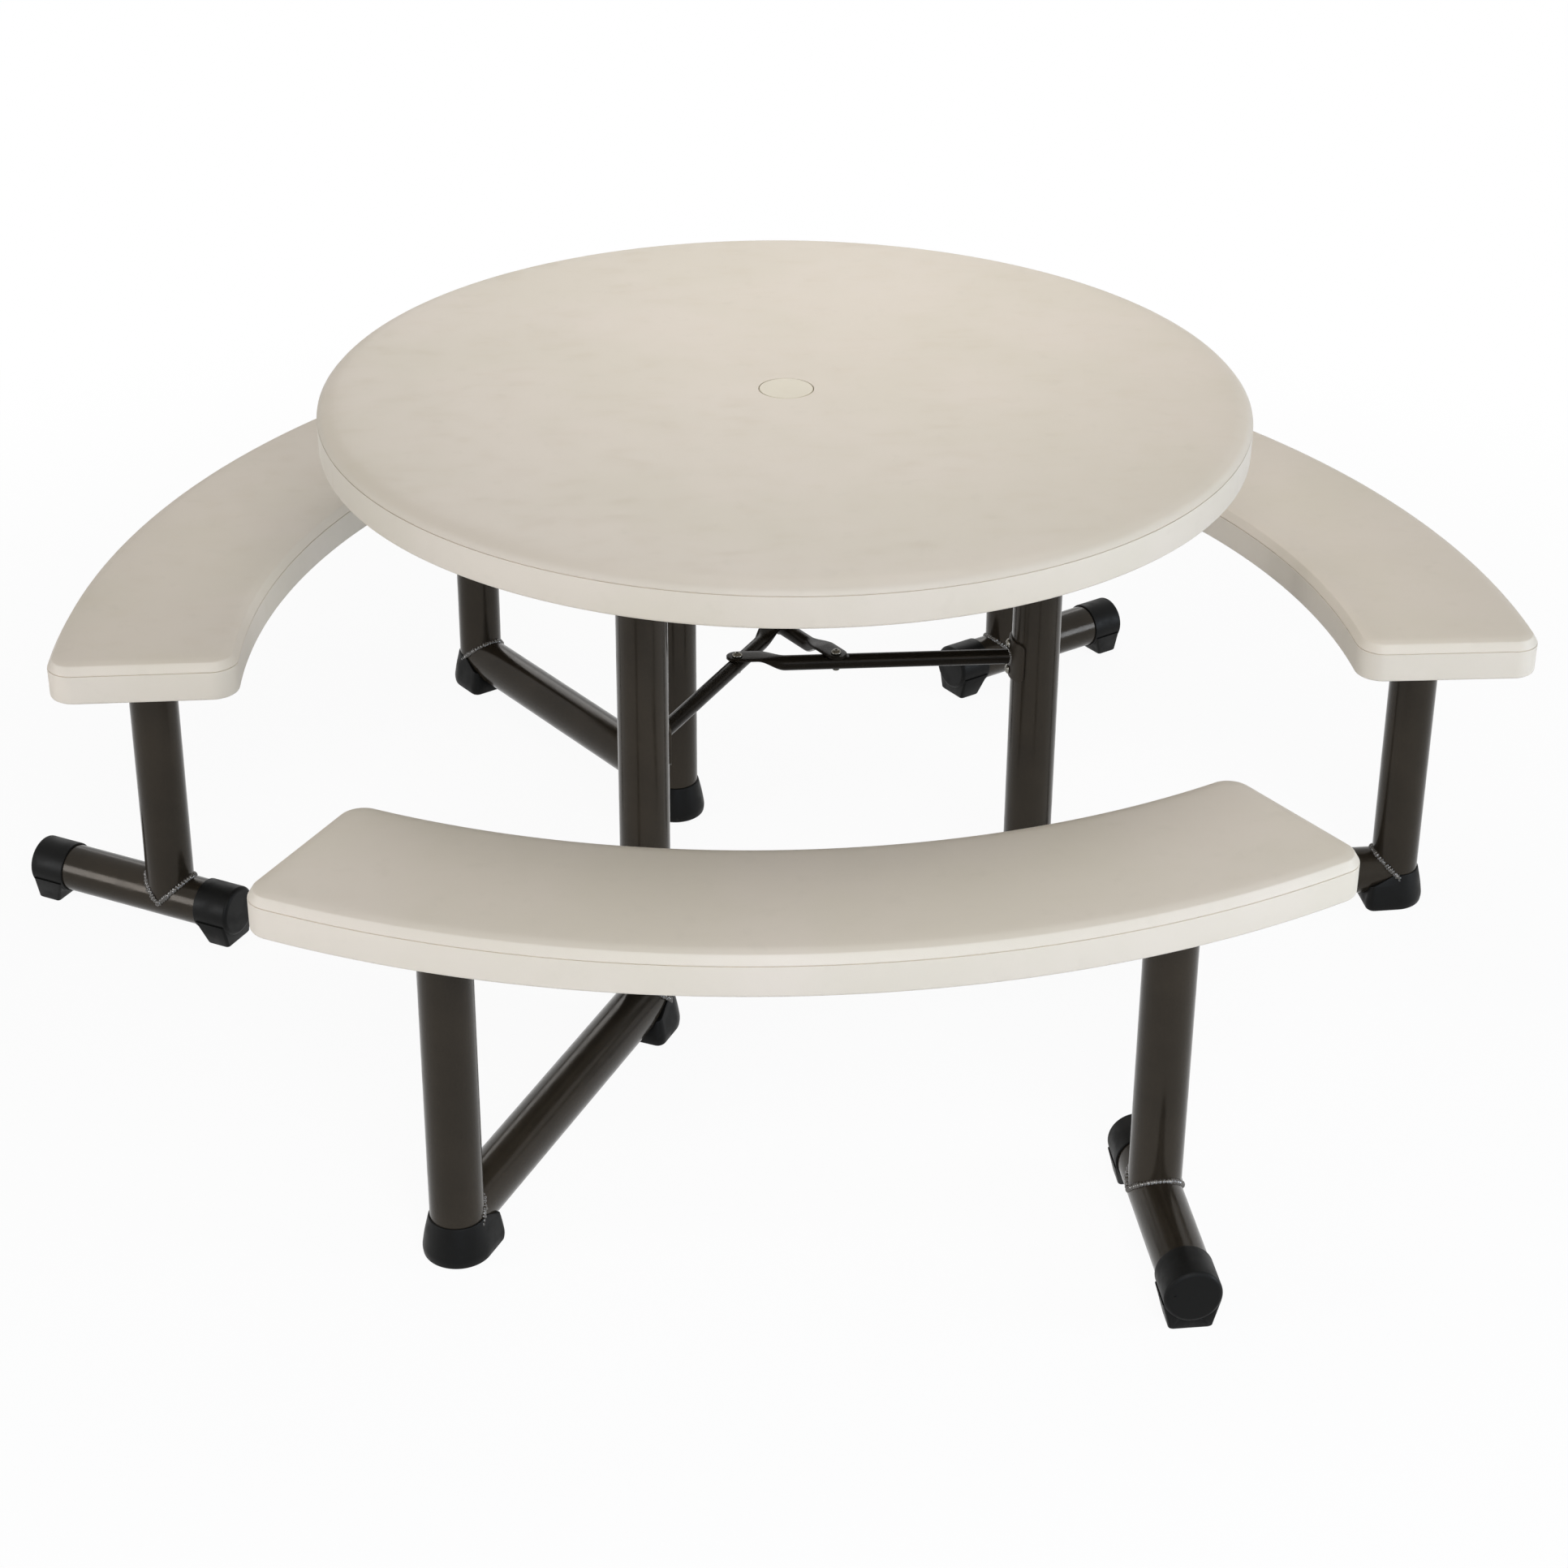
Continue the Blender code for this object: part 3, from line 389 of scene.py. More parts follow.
# %% Almond for the top and the benches
def almond_plastic(name, tint, warm, roughness):
    finish = Finish(name, roughness)
    clouds = finish.cloud(5.0, 3.0)
    flecks = finish.cells(900.0)
    shade = finish.blend(clouds.above(0.35, 0.68), tint, warm)
    dusty = tuple(value * 0.93 for value in tint)
    shade = finish.blend(finish.cloud(38.0, 4.0).above(0.56, 0.80) * 0.35, shade, dusty)
    finish.feed("Base Color", shade)
    scuffs = finish.cloud(24.0, 6.0, finish.stretched(1.0, 2.6, 1.0)).above(0.50, 0.74)
    finish.feed("Roughness", scuffs * 0.10 + roughness)
    grain = finish.cloud(1500.0, 2.0) * 0.6 + flecks * 0.5
    finish.relief(grain, 0.00010)
    return finish.material


TOP_ALMOND = almond_plastic("almond_tabletop", srgb(213, 204, 187), srgb(217, 207, 192), 0.46)
SEAT_ALMOND = almond_plastic("almond_bench", srgb(219, 210, 193), srgb(223, 213, 198), 0.50)
CAP_ALMOND = almond_plastic("almond_cap", srgb(212, 204, 184), srgb(216, 208, 187), 0.42)
print("plastics:", TOP_ALMOND.name, SEAT_ALMOND.name, CAP_ALMOND.name)

# %% [markdown]
# ## Bronze powder coat
#
# The tubes are powder coated: a dark brown-black paint with fine metal flake, baked on, with the
# slight waviness that painters call orange peel. A white room would turn such a dark gloss grey,
# so the coat is only partly metallic and bends light little. That keeps the tube dark face on,
# while its edges still pick up the room. The braces get a darker, duller copy of the same coat:
# its darkness is painted shade for their place in the shadow under the top. The plates are duller,
# and the welds are lumpy and much glossier, so that they catch small points of light.

# %% Powder coat for tubes, plates and welds
def powder_coat(name, roughness, peel, gloss=0.6, depth=1.0, ior=1.25):
    finish = Finish(name, roughness, metallic=0.28, ior=ior)
    finish.surface.inputs["Specular IOR Level"].default_value = gloss
    flake = finish.cells(2600.0).above(0.0, 0.55)
    # depth scales every colour of the coat; a depth below 1, as on the braces, is painted shade.
    darker, lighter, flecks = [[value * depth for value in srgb(*colour)] for colour in (
        (42, 37, 30), (50, 44, 36), (84, 75, 62))]
    base = finish.blend(finish.cloud(9.0, 3.0).above(0.3, 0.7), darker, lighter)
    finish.feed("Base Color", finish.blend((1 - flake) * 0.45, base, flecks))
    finish.feed("Roughness", finish.cloud(60.0, 4.0).above(0.4, 0.75) * 0.10 + roughness)
    finish.relief(finish.cloud(420.0, 3.0) + finish.cloud(1900.0, 1.0) * 0.25, peel)
    return finish.material


TUBE_COAT = powder_coat("bronze_powder_coat", 0.16, 0.00006)
# The braces take the same coat darkened to about a third: painted shade for the shadow under the
# top.
SHADED_BRACE_COAT = powder_coat("bronze_brace_coat_painted_shade", 0.22, 0.00006, 0.15, depth=0.34)
PLATE_COAT = powder_coat("bronze_plate_coat", 0.42, 0.00008)
WELD_COAT = powder_coat("bronze_weld_coat", 0.06, 0.00030, 1.0, ior=1.6)
print("coats:", *(coat.name for coat in (TUBE_COAT, SHADED_BRACE_COAT, PLATE_COAT, WELD_COAT)))

# %% [markdown]
# ## Black plastic and bolt steel
#
# Boots and end caps are matt black mouldings that scuff grey where they rub on the ground. Their
# gloss is kept low for the same reason as the coat's. The bolts are plated steel, weathered to a
# dull and slightly mottled grey.

# %% Black mouldings and plated bolts
def black_plastic(name):
    finish = Finish(name, 0.42, ior=1.25)
    finish.surface.inputs["Specular IOR Level"].default_value = 0.35
    scuffed = finish.cloud(70.0, 6.0, finish.stretched(1.0, 1.0, 0.5)).above(0.55, 0.75)
    near_floor = 1 - finish.part_of(finish.place(), "Z").above(0.004, 0.022)
    finish.feed("Base Color", finish.blend(scuffed * near_floor * 0.5, srgb(15, 15, 14),
                                           srgb(50, 48, 45)))
    finish.feed("Roughness", finish.cloud(45.0, 4.0).above(0.4, 0.7) * 0.16 + 0.40)
    finish.relief(finish.cloud(1300.0, 2.0), 0.00008)
    return finish.material


def plated_steel(name):
    finish = Finish(name, 0.30, metallic=1.0)
    mottle = finish.cloud(600.0, 3.0).above(0.35, 0.70)
    finish.feed("Base Color", finish.blend(mottle, srgb(138, 135, 127), srgb(104, 101, 94)))
    finish.feed("Roughness", mottle * 0.18 + 0.24)
    finish.relief(finish.cloud(2500.0, 2.0), 0.00003)
    return finish.material


BLACK = black_plastic("black_foot_plastic")
STEEL = plated_steel("zinc_plated_steel")
print("small parts:", BLACK.name, STEEL.name)

# %% [markdown]
# ## The tabletop
#
# The top is one hollow moulding, round, with a rolled edge. Seen in section the roll falls gently,
# steepens, turns down at a soft line, and ends in a groove a millimetre wide, where the mould's
# halves met. The groove is nearly two millimetres deep, because it has to stay dark. Below it the
# side is straight, and the underside is a recessed panel with small dimples, where the two skins
# touch and stiffen each other. A lathe gives all of it but the dimples and screw holes.

# %% Turn the tabletop
def moulded_edge(height, deep, roll, crease, drop, skirt):
    """(inset, height, reach) corners of a moulding's edge, from its top to its underside."""
    inset, fall, softness = crease
    turning = inset + (roll - inset) * 0.40
    return [(roll, height, 0.010), (turning, height - fall * 0.22, 0.008),
            (inset, height - fall, softness),
            (0.0002, height - drop, 0.0003), (0.0017, height - drop - 0.0001, 0.0002),
            (0.0017, height - drop - 0.0010, 0.0002), (0.0, height - drop - 0.0012, 0.0004),
            (0.0003, height - deep, 0.0040),
            (skirt - 0.004, height - deep, 0.0030), (skirt, height - PANEL, 0.0040)]


HOLE, CAP_SEAT, CAP_DEEP, BOSS = 0.0245, 0.0333, 0.0045, 0.0465
edge = moulded_edge(TOP_Z, TOP_DEEP, 0.037, (0.0052, 0.0058, 0.0042), 0.0117, 0.030)
corners = [(HOLE, TOP_Z - 0.030, 0), (HOLE, TOP_Z - CAP_DEEP, 0.0003),
           (CAP_SEAT, TOP_Z - CAP_DEEP, 0.0003), (CAP_SEAT, TOP_Z, 0.0009),
           (TOP_RADIUS - 0.20, TOP_Z, 0)]
corners += [(TOP_RADIUS - inset, z, reach) for inset, z, reach in edge]
corners += [(BOSS + 0.004, TOP_UNDER, 0.003), (BOSS, TOP_Z - TOP_DEEP, 0.002),
            (HOLE, TOP_Z - TOP_DEEP, 0.001), (HOLE, TOP_Z - 0.031, 0)]
top_profile = soften(corners)
top_skin = lathe(top_profile, 288, loop=True)
print("profile points:", len(top_profile))


# %% Cut its dimples and screw holes
def cone(centre, bottom, depth, radius, tip, sides=24):
    """A tapered cutter that stands upright at a centre."""
    profile = [(0.0, bottom - 0.001), (radius, bottom - 0.001), (radius, bottom),
               (tip + 0.001, bottom + depth - 0.001), (tip, bottom + depth), (0.0, bottom + depth)]
    return lathe(profile, sides, Matrix.Translation(raised(centre, 0.0)))


def merged(skins):
    """Several separate skins as one, so that one Boolean does them all."""
    total = bmesh.new()
    for bm in skins:
        mesh = bpy.data.meshes.new("merge")
        bm.to_mesh(mesh)
        bm.free()
        total.from_mesh(mesh)
        bpy.data.meshes.remove(mesh)
    return total


def plate_corners(centre, facing, size):
    """The four screw places of a square plate."""
    reach = size / 2 - 0.013
    turn = Matrix.Rotation(math.radians(facing), 3, "Z")
    return [centre + turn @ Vector((x * reach, y * reach, 0.0))
            for x, y in ((1, 1), (1, -1), (-1, -1), (-1, 1))]


def dimple(centre, under):
    return cone(centre, under, 0.012, 0.010, 0.006)


def screw_hole(centre, under):
    return cone(centre, under, 0.014, 0.0030, 0.0028, 12)


dimples = [dimple(polar(0.150, 60 * i), TOP_UNDER) for i in range(6)]
dimples += [dimple(polar(0.470, 24 * i), TOP_UNDER) for i in range(15)]
for degrees in UNITS.values():
    turned = Matrix.Rotation(math.radians(degrees), 3, "Z")
    dimples += [screw_hole(turned @ corner, TOP_UNDER)
                for corner in plate_corners(TABLE_LEG, -90 - TABLE_LEG_TURN, TABLE_PLATE)]
top_mesh = shaped(top_skin, cuts=[merged(dimples)])
top_mesh.transform(Matrix.Translation(AXIS))
piece("tabletop_moulding", top_mesh, TOP_ALMOND, ["tabletop"])
print("tabletop faces:", len(top_mesh.polygons))

# %% [markdown]
# ## The cap in the umbrella hole
#
# The cap is a thin disc with a hollow plug below it. It drops into a shallow seat with 0.8 mm of
# air round it, and that thin dark ring is what makes it read as a separate piece. It rides on its
# own body, because on the real table it lifts out.

# %% Turn the cap
seat_top = TOP_Z - CAP_DEEP + GAP
plug = HOLE - 0.0005
cap_corners = [(0.0, TOP_Z, 0), (0.0318, TOP_Z, 0.0006), (0.0325, TOP_Z - 0.0008, 0.0004),
               (0.0325, seat_top, 0.0003), (plug, seat_top, 0.0004),
               (plug, seat_top - 0.022, 0.0010), (plug - 0.0025, seat_top - 0.022, 0.0006),
               (plug - 0.0025, seat_top, 0.0010), (0.0, seat_top, 0)]
cap_mesh = shaped(lathe(soften(cap_corners), 96))
cap_mesh.transform(Matrix.Translation(AXIS))
piece("umbrella_cap_disc", cap_mesh, CAP_ALMOND, ["umbrella_hole_cap"],
      body="umbrella_cap")
print("cap faces:", len(cap_mesh.polygons))

# %% [markdown]
# ## The benches
#
# Each bench is a curved moulding with the same kind of edge as the top. Its outline is two arcs
# about a point behind the table, joined by rounded corners. Carrying the edge profile round the
# outline gives the whole skin, and the outline's own normals keep the roll's width even.

# %% Draw a bench's outline
INNER, OUTER, HALF, CORNER = 0.954, 1.178, 30.7, 0.032


def bench_outline():
    """(point, outward normal) pairs round the bench."""
    outline = []

    def arc(centre, radius, start, end, steps, outward=1.0, closed=False):
        """Points along an arc. Only a closed one has its last point, where a straight end starts."""
        for i in range(steps + closed):
            angle = start + (end - start) * i / steps
            outline.append((centre + polar(radius, angle), polar(outward, angle)))

    def corner(middle, turn, start, end, closed):
        arc(BENCH_AXIS + polar(middle, -90 + turn), CORNER, start, end, 14, closed=closed)

    outer_mid, inner_mid = OUTER - CORNER, INNER + CORNER
    outer_turn, inner_turn = [HALF - math.degrees(math.asin(CORNER / middle))
                              for middle in (outer_mid, inner_mid)]
    arc(BENCH_AXIS, OUTER, -90 - outer_turn, -90 + outer_turn, 88)
    corner(outer_mid, outer_turn, -90 + outer_turn, HALF, True)
    corner(inner_mid, inner_turn, HALF, 90 + inner_turn, False)
    arc(BENCH_AXIS, INNER, -90 + inner_turn, -90 - inner_turn, 72, outward=-1.0)
    corner(inner_mid, -inner_turn, 90 - inner_turn, 180 - HALF, True)
    corner(outer_mid, -outer_turn, 180 - HALF, 270 - outer_turn, False)
    return outline


outline = bench_outline()
around = sum((b[0] - a[0]).length for a, b in zip(outline, outline[1:] + outline[:1]))
print("outline:", len(outline), "points,", round(around, 3), "m round")

# %% Carry the edge round it and cut the underside
bench_edge = soften(moulded_edge(SEAT_Z, SEAT_DEEP, 0.027, (0.0062, 0.0030, 0.0012), 0.0130,
                                 0.024))


def bench(unit):
    rings = [[raised(p - n * inset, z) for p, n in outline] for inset, z in bench_edge]
    post, _, post_facing = t_leg(unit)
    dents = []
    for centre, facing in ((BENCH_LEG, -90 - BENCH_LEG_TURN), (post, post_facing)):
        dents += [screw_hole(c, SEAT_UNDER) for c in plate_corners(centre, facing, BENCH_PLATE)]
    for out, count, spread in ((INNER + 0.053, 5, 22.92), (OUTER - 0.053, 2, 8.02)):
        for i in range(count):
            centre = BENCH_AXIS + polar(out, -90 + spread * (2 * i / (count - 1) - 1))
            dents.append(dimple(centre, SEAT_UNDER))
    return shaped(skin(rings), cuts=[merged(dents)])


three("bench_moulding", bench, SEAT_ALMOND, "bench")

# %% [markdown]
# ## Tubes with fitted ends
#
# Where a tube is welded to another, its end is cut to the other's round side. That end needs no
# Boolean: a point of the rim at distance x from the middle has to stop where the other tube's
# side is, at the square root of R squared minus x squared. So each end of a tube is a small
# function of the place round the rim.

# %% A tube between two shaped ends
def tube(length, place, start_cut=None, end_cut=None, sides=72, lip=0.0006):
    """A hollow tube along Z. A cut gives how far the end is drawn in at a point (x, y)."""
    rings = []
    for wall, inset, at_end in ((TUBE - lip, 0.0, False), (TUBE, lip, False),
                                (TUBE, lip, True), (TUBE - lip, 0.0, True),
                                (TUBE - WALL, 0.0, True), (TUBE - WALL, 0.0, False)):
        ring = []
        for i in range(sides):
            x = wall * math.cos(2 * math.pi * i / sides)
            y = wall * math.sin(2 * math.pi * i / sides)
            cut = end_cut if at_end else start_cut
            drawn = (cut(x, y) if cut else 0.0) + inset
            ring.append(Vector((x, y, length - drawn if at_end else drawn)))
        rings.append(ring)
    bm = skin(rings, loop=True)
    bm.transform(place)
    return bm


def against_tube(along_x=True):
    """The cut that fits a tube's end to the side of another of the same size."""
    def cut(x, y):
        across = x if along_x else y
        return math.sqrt((TUBE + GAP) ** 2 - across ** 2)
    return cut


# %% Table legs, bench legs and T posts
BOOT_FLOOR = 0.0057
FOOT = BOOT_FLOOR + GAP
top_leg_end = TOP_UNDER - 2 * GAP - PLATE
bench_leg_end = SEAT_UNDER - 2 * GAP - PLATE


def saddle_bolt_holes():
    """A drill through the saddle and the near wall of the leg, above and below the brace."""
    return merged([rod(BOLT_HOLE, 0.015, 0.045, 16,
                       aimed(raised(TABLE_LEG, BRACE_Z + rise), BRACE_RUN))
                   for rise in (-BOLT_RISE, BOLT_RISE)])


leg = tube(top_leg_end - FOOT, Matrix.Translation(raised(TABLE_LEG, FOOT)))
three("table_leg_tube", shaped(leg, cuts=[saddle_bolt_holes()]), TUBE_COAT,
      "table_leg")
leg = tube(bench_leg_end - FOOT, Matrix.Translation(raised(BENCH_LEG, FOOT)))
three("bench_leg_tube", shaped(leg), TUBE_COAT, "bench_leg")


def on_foot(unit):
    """The frame of a T leg's joint: Z up, and X along its foot."""
    place, run, _ = t_leg(unit)
    return (Matrix.Translation(raised(place, RAIL_Z))
            @ Matrix.Rotation(math.atan2(run.y, run.x), 4, "Z"))


def t_post(unit):
    return shaped(tube(bench_leg_end - RAIL_Z, on_foot(unit), against_tube(along_x=False)))


three("t_post_tube", t_post, TUBE_COAT, "t_post")

# %% Ground tubes and foot tubes
rail_length = (TABLE_LEG - BENCH_LEG).length
rail = tube(rail_length, aimed(raised(BENCH_LEG, RAIL_Z), RAIL_RUN), against_tube(),
            against_tube())
three("ground_tube_rail", shaped(rail), TUBE_COAT, "ground_tube")
FOOT_IN, FOOT_OUT, CAP_END = 0.104, 0.200, 0.0043  # an end cap closes the last few millimetres


def foot_tube(unit):
    post, run, _ = t_leg(unit)
    start = raised(post, RAIL_Z) - run * (FOOT_IN - CAP_END)
    return shaped(tube(FOOT_IN + FOOT_OUT - 2 * CAP_END, aimed(start, run)))


three("foot_tube_bar", foot_tube, TUBE_COAT, "foot_tube")
print("ground tube runs", round(rail_length, 4), "m between leg centres")

# %% [markdown]
# ## Weld beads
#
# A weld is a row of small overlapping ripples along the joint. Here a bead is a thin round cord
# swept along the line where two tubes meet, swollen at each ripple and roughened with a little
# noise. The line is known from the same square root that cut the tube's end.

# %% Sweep a bead along a closed line
def bead(path, leans, radius=0.0033, pitch=0.0042, seed=0.0):
    """A rippled cord along closed points, pushed out along the lean at each of them."""
    rings, travelled = [], 0.0
    count = len(path)
    for i in range(count):
        ahead = (path[(i + 1) % count] - path[i - 1]).normalized()
        out = (leans[i] - ahead * leans[i].dot(ahead)).normalized()
        side = ahead.cross(out)
        travelled += (path[i] - path[i - 1]).length if i else 0.0
        ripple = abs(math.sin(math.pi * travelled / pitch))
        lump = noise.noise(path[i] * 160 + Vector((seed, 0, 0)))
        size = radius * (0.72 + 0.34 * ripple + 0.30 * lump)
        centre = path[i] + out * (0.0002 + 0.0006 * lump)
        rings.append([centre + (out * math.cos(a) + side * math.sin(a) * 1.25) * size
                      for a in [2 * math.pi * k / 10 for k in range(10)]])
    return skin(rings, loop=True)


def round_joint(place, rim, height_of, lean_of, steps=300, **how):
    """A bead round a tube that meets something at a height that varies round its rim."""
    path, leans = [], []
    for i in range(steps):
        angle = 2 * math.pi * i / steps
        x, y = rim * math.cos(angle), rim * math.sin(angle)
        path.append(place @ Vector((x, y, height_of(x, y))))
        leans.append(place.to_3x3() @ Vector((math.cos(angle), math.sin(angle), 0.0)).lerp(
            Vector(lean_of(x, y)), 0.5))
    return bead(path, leans, **how)


# %% Lay every weld of a unit
def on_tube_along_x(x, y):
    return math.sqrt(max(TUBE ** 2 - y * y, 0.0))


def on_tube_along_y(x, y):
    return math.sqrt(max(TUBE ** 2 - x * x, 0.0))


rail_at_bench = aimed(raised(BENCH_LEG, RAIL_Z), RAIL_RUN)
rail_at_table = aimed(raised(TABLE_LEG, RAIL_Z), -RAIL_RUN)


def weld_beads(unit):
    beads = [round_joint(place, TUBE, on_tube_along_y,
                         lambda x, y: (x / TUBE, 0.0, on_tube_along_y(x, y) / TUBE), seed=seed)
             for place, seed in ((rail_at_bench, 1.0), (rail_at_table, 2.0))]
    beads.append(round_joint(on_foot(unit), TUBE, on_tube_along_x,
                             lambda x, y: (0.0, y / TUBE, on_tube_along_x(x, y) / TUBE),
                             seed=3.0))
    for centre, end in ((TABLE_LEG, top_leg_end), (BENCH_LEG, bench_leg_end),
                        (t_leg(unit)[0], bench_leg_end)):
        beads.append(round_joint(Matrix.Translation(raised(centre, end)), TUBE,
                                 lambda x, y: 0.0, lambda x, y: (0.0, 0.0, -1.0),
                                 radius=0.0024, seed=end * 9))
    return shaped(merged(beads), sharp=60)


three("weld_beads", weld_beads, WELD_COAT)

# %% [markdown]
# ## Boots under the U frames
#
# A boot is a cup pushed over the bottom of a leg, with a cradle that reaches out under the
# ground tube. Its side flares towards the floor, and its rim slopes down along the tube. A loft
# of flaring outlines makes the block, and three cutters take out the leg's bore, the tube's
# cradle and the slope. A bevel then rounds the rim.

# %% Loft a boot and cut it out
RIM, FLARE, BOOT_Z, TOE, TOE_CORNER = 0.0018, 0.0078, 0.050, 0.0435, 0.012


def boot_outline(heel, run):
    """Plan of a boot at its foot, as (point, outward normal) pairs."""
    radius = TUBE + RIM + FLARE
    ahead = math.degrees(math.atan2(run.y, run.x))
    side = Vector((-run.y, run.x, 0.0))
    outline = []
    for i in range(41):
        angle = ahead + 90 + 180 * i / 40
        outline.append((heel + polar(radius, angle), polar(1.0, angle)))
    for sign, turns in ((-1, range(0, 9)), (1, range(8, -1, -1))):
        centre = heel + run * (TOE - TOE_CORNER) + side * sign * (radius - TOE_CORNER)
        for step in turns:
            normal = polar(1.0, ahead + sign * (90 - 90 * step / 8))
            outline.append((centre + normal * TOE_CORNER, normal))
    return outline


def boot(heel, run):
    outline = boot_outline(heel, run)
    side = soften([(FLARE + RIM, BOOT_Z, 0), (FLARE, BOOT_Z - 0.0008, 0.0006),
                   (FLARE * 0.35, BOOT_Z * 0.55, 0.008), (0.0, BOOT_Z * 0.2, 0.006),
                   (0.0012, 0.0022, 0.002), (0.0040, 0.0, 0)])
    block = skin([[raised(p - n * inset, z) for p, n in outline] for inset, z in side])
    cup = TUBE + GAP
    bore = rod(cup, BOOT_FLOOR, 0.1, 96, Matrix.Translation(heel))
    cradle = rod(cup, 0.0, 0.1, 96, aimed(raised(heel, RAIL_Z), run))
    slope = bmesh.new()
    bmesh.ops.create_cube(slope, size=0.2)
    ahead = math.atan2(run.y, run.x)
    slope.transform(Matrix.Translation(raised(heel + run * 0.008, BOOT_Z))
                    @ Matrix.Rotation(ahead, 4, "Z") @ Matrix.Rotation(math.radians(27), 4, "Y")
                    @ Matrix.Translation((0.1, 0.0, 0.1)))
    return shaped(block, cuts=[bore, cradle, slope], bevel=0.0009)


for stem, heel, run in (("table_leg_boot", TABLE_LEG, -RAIL_RUN),
                        ("bench_leg_boot", BENCH_LEG, RAIL_RUN)):
    three(f"{stem}_fine", boot(heel, run), BLACK, stem)

# %% [markdown]
# ## End caps on the foot tubes
#
# The caps are turned cups with a rounded end, and below each is a pad that narrows towards the
# floor and takes the weight. The outer caps show a small round mark left by the mould's gate.

# %% Turn the cups and join their pads
def rounded_rectangle(y, middle_z, half_x, half_z, corner):
    """A ring in the plane of one height of the pad, in the cap's own frame."""
    ring = []
    for turn, sx, sz in ((0, 1, 1), (90, -1, 1), (180, -1, -1), (270, 1, -1)):
        for step in range(6):
            angle = math.radians(turn + 90 * step / 5)
            ring.append(Vector((sx * (half_x - corner) + corner * math.cos(angle), y,
                                middle_z + sz * (half_z - corner) + corner * math.sin(angle))))
    return ring


def foot_cap(end, run, mark):
    place = aimed(end, run)
    radius = TUBE + 0.0022
    cup = lathe(soften([(0.0, 0.0, 0), (radius - 0.0035, 0.0, 0.002), (radius, -0.0030, 0.002),
                        (radius, -0.0492, 0.0006), (radius - 0.0008, -0.050, 0.0004),
                        (0.0, -0.050, 0)]), 96, place)
    rows = []
    for down, half_x, length in ((0.0109, 0.0322, 0.044), (0.0413, 0.0245, 0.0318),
                                 (0.0428, 0.0236, 0.0302), (0.0435, 0.0222, 0.0275)):
        inset = max(0.0, down - 0.0413) * 0.6
        rows.append(rounded_rectangle(-down, -0.004 - inset - length / 2, half_x, length / 2,
                                      0.0035))
    pad = skin(rows)
    pad.transform(place)
    cuts = [rod(TUBE + GAP, -CAP_END, -0.2, 96, place)]
    if mark:
        cuts.append(lathe([(0.0, -0.0005), (0.0017, -0.0005), (0.0021, 0.001), (0.0, 0.001)], 24,
                          place @ Matrix.Translation((-0.021, 0.005, 0.0))))
    return shaped(cup, cuts=cuts, joins=[pad], bevel=0.0007, bevel_angle=40)


def inner_cap(unit):
    post, run, _ = t_leg(unit)
    return foot_cap(raised(post, RAIL_Z) - run * FOOT_IN, -run, False)


def outer_cap(unit):
    post, run, _ = t_leg(unit)
    return foot_cap(raised(post, RAIL_Z) + run * FOOT_OUT, run, True)


three("foot_cap_inner_fine", inner_cap, BLACK, "foot_cap_inner")
three("foot_cap_outer_fine", outer_cap, BLACK, "foot_cap_outer")

# %% [markdown]
# ## Braces
#
# Each brace is a thin tube whose end was crushed flat in a press, stepped up, rounded off and
# drilled, so that it lies on the next brace and one bolt holds both. The section goes from a
# circle to a flat slot while its girth stays about the same. A superellipse does that with one
# number for how square it is. The braces miss the table's axis by a little, so the three cross in
# a small triangle, and the distances to both crossings follow from that miss.

# %% Loft a brace
MISS = TABLE_LEG_OUT * math.sin(math.radians(BRACE_TURN))
CROSSING = TABLE_LEG_OUT * math.cos(math.radians(BRACE_TURN)) - math.sqrt(3) * MISS
REACH = CROSSING + 2 * math.sqrt(3) * MISS
TAB_WIDE, TAB_THICK, TAB_LONG, JOGGLE, TAB_SEAT = 0.0135, 0.0018, 0.024, 0.036, 0.0015
TAB_RISE = BRACE - TAB_SEAT + GAP + TAB_THICK
brace_base = raised(TABLE_LEG, BRACE_Z)
SADDLE_OUT = TUBE + GAP + PLATE


def slot_ring(distance, rise, half_wide, half_thick, square, fit=0.0):
    """A section of the brace between round and flat, in the brace's own frame."""
    ring = []
    for i in range(40):
        angle = 2 * math.pi * (i + 0.5) / 40
        x = math.copysign(abs(math.cos(angle)) ** (2 / square), math.cos(angle)) * half_wide
        y = math.copysign(abs(math.sin(angle)) ** (2 / square), math.sin(angle)) * half_thick
        back = fit - math.sqrt(fit ** 2 - x * x) if fit else 0.0
        ring.append(Vector((x, rise + y, distance - back)))
    return ring


fit = SADDLE_OUT + GAP
flat_from = REACH - TAB_LONG
rows = [slot_ring(fit, 0.0, BRACE, BRACE, 2.0, fit),
        slot_ring(flat_from - JOGGLE, 0.0, BRACE, BRACE, 2.0)]
for step in range(1, 17):
    part = step / 16
    ease = part * part * (3 - 2 * part)
    rows.append(slot_ring(flat_from - JOGGLE + JOGGLE * part, TAB_RISE * ease,
                          BRACE + (TAB_WIDE - BRACE) * ease, BRACE + (TAB_THICK - BRACE) * ease,
                          2 + 3 * ease))
for turn in (0, 15, 30, 45, 56, 66, 74, 80, 85):
    angle = math.radians(turn)
    rows.append(slot_ring(REACH + TAB_WIDE * math.sin(angle), TAB_RISE,
                          TAB_WIDE * math.cos(angle), TAB_THICK, 5.0))
brace_skin = skin(rows)
brace_skin.transform(aimed(brace_base, BRACE_RUN))
holes = []
for distance in (CROSSING, REACH):
    spot = brace_base + BRACE_RUN * distance
    holes.append(rod(BOLT_HOLE, BRACE_Z - 0.03, BRACE_Z + 0.03, 20,
                     Matrix.Translation(raised(spot, 0.0))))
seat = bmesh.new()
bmesh.ops.create_cube(seat, size=1.0)
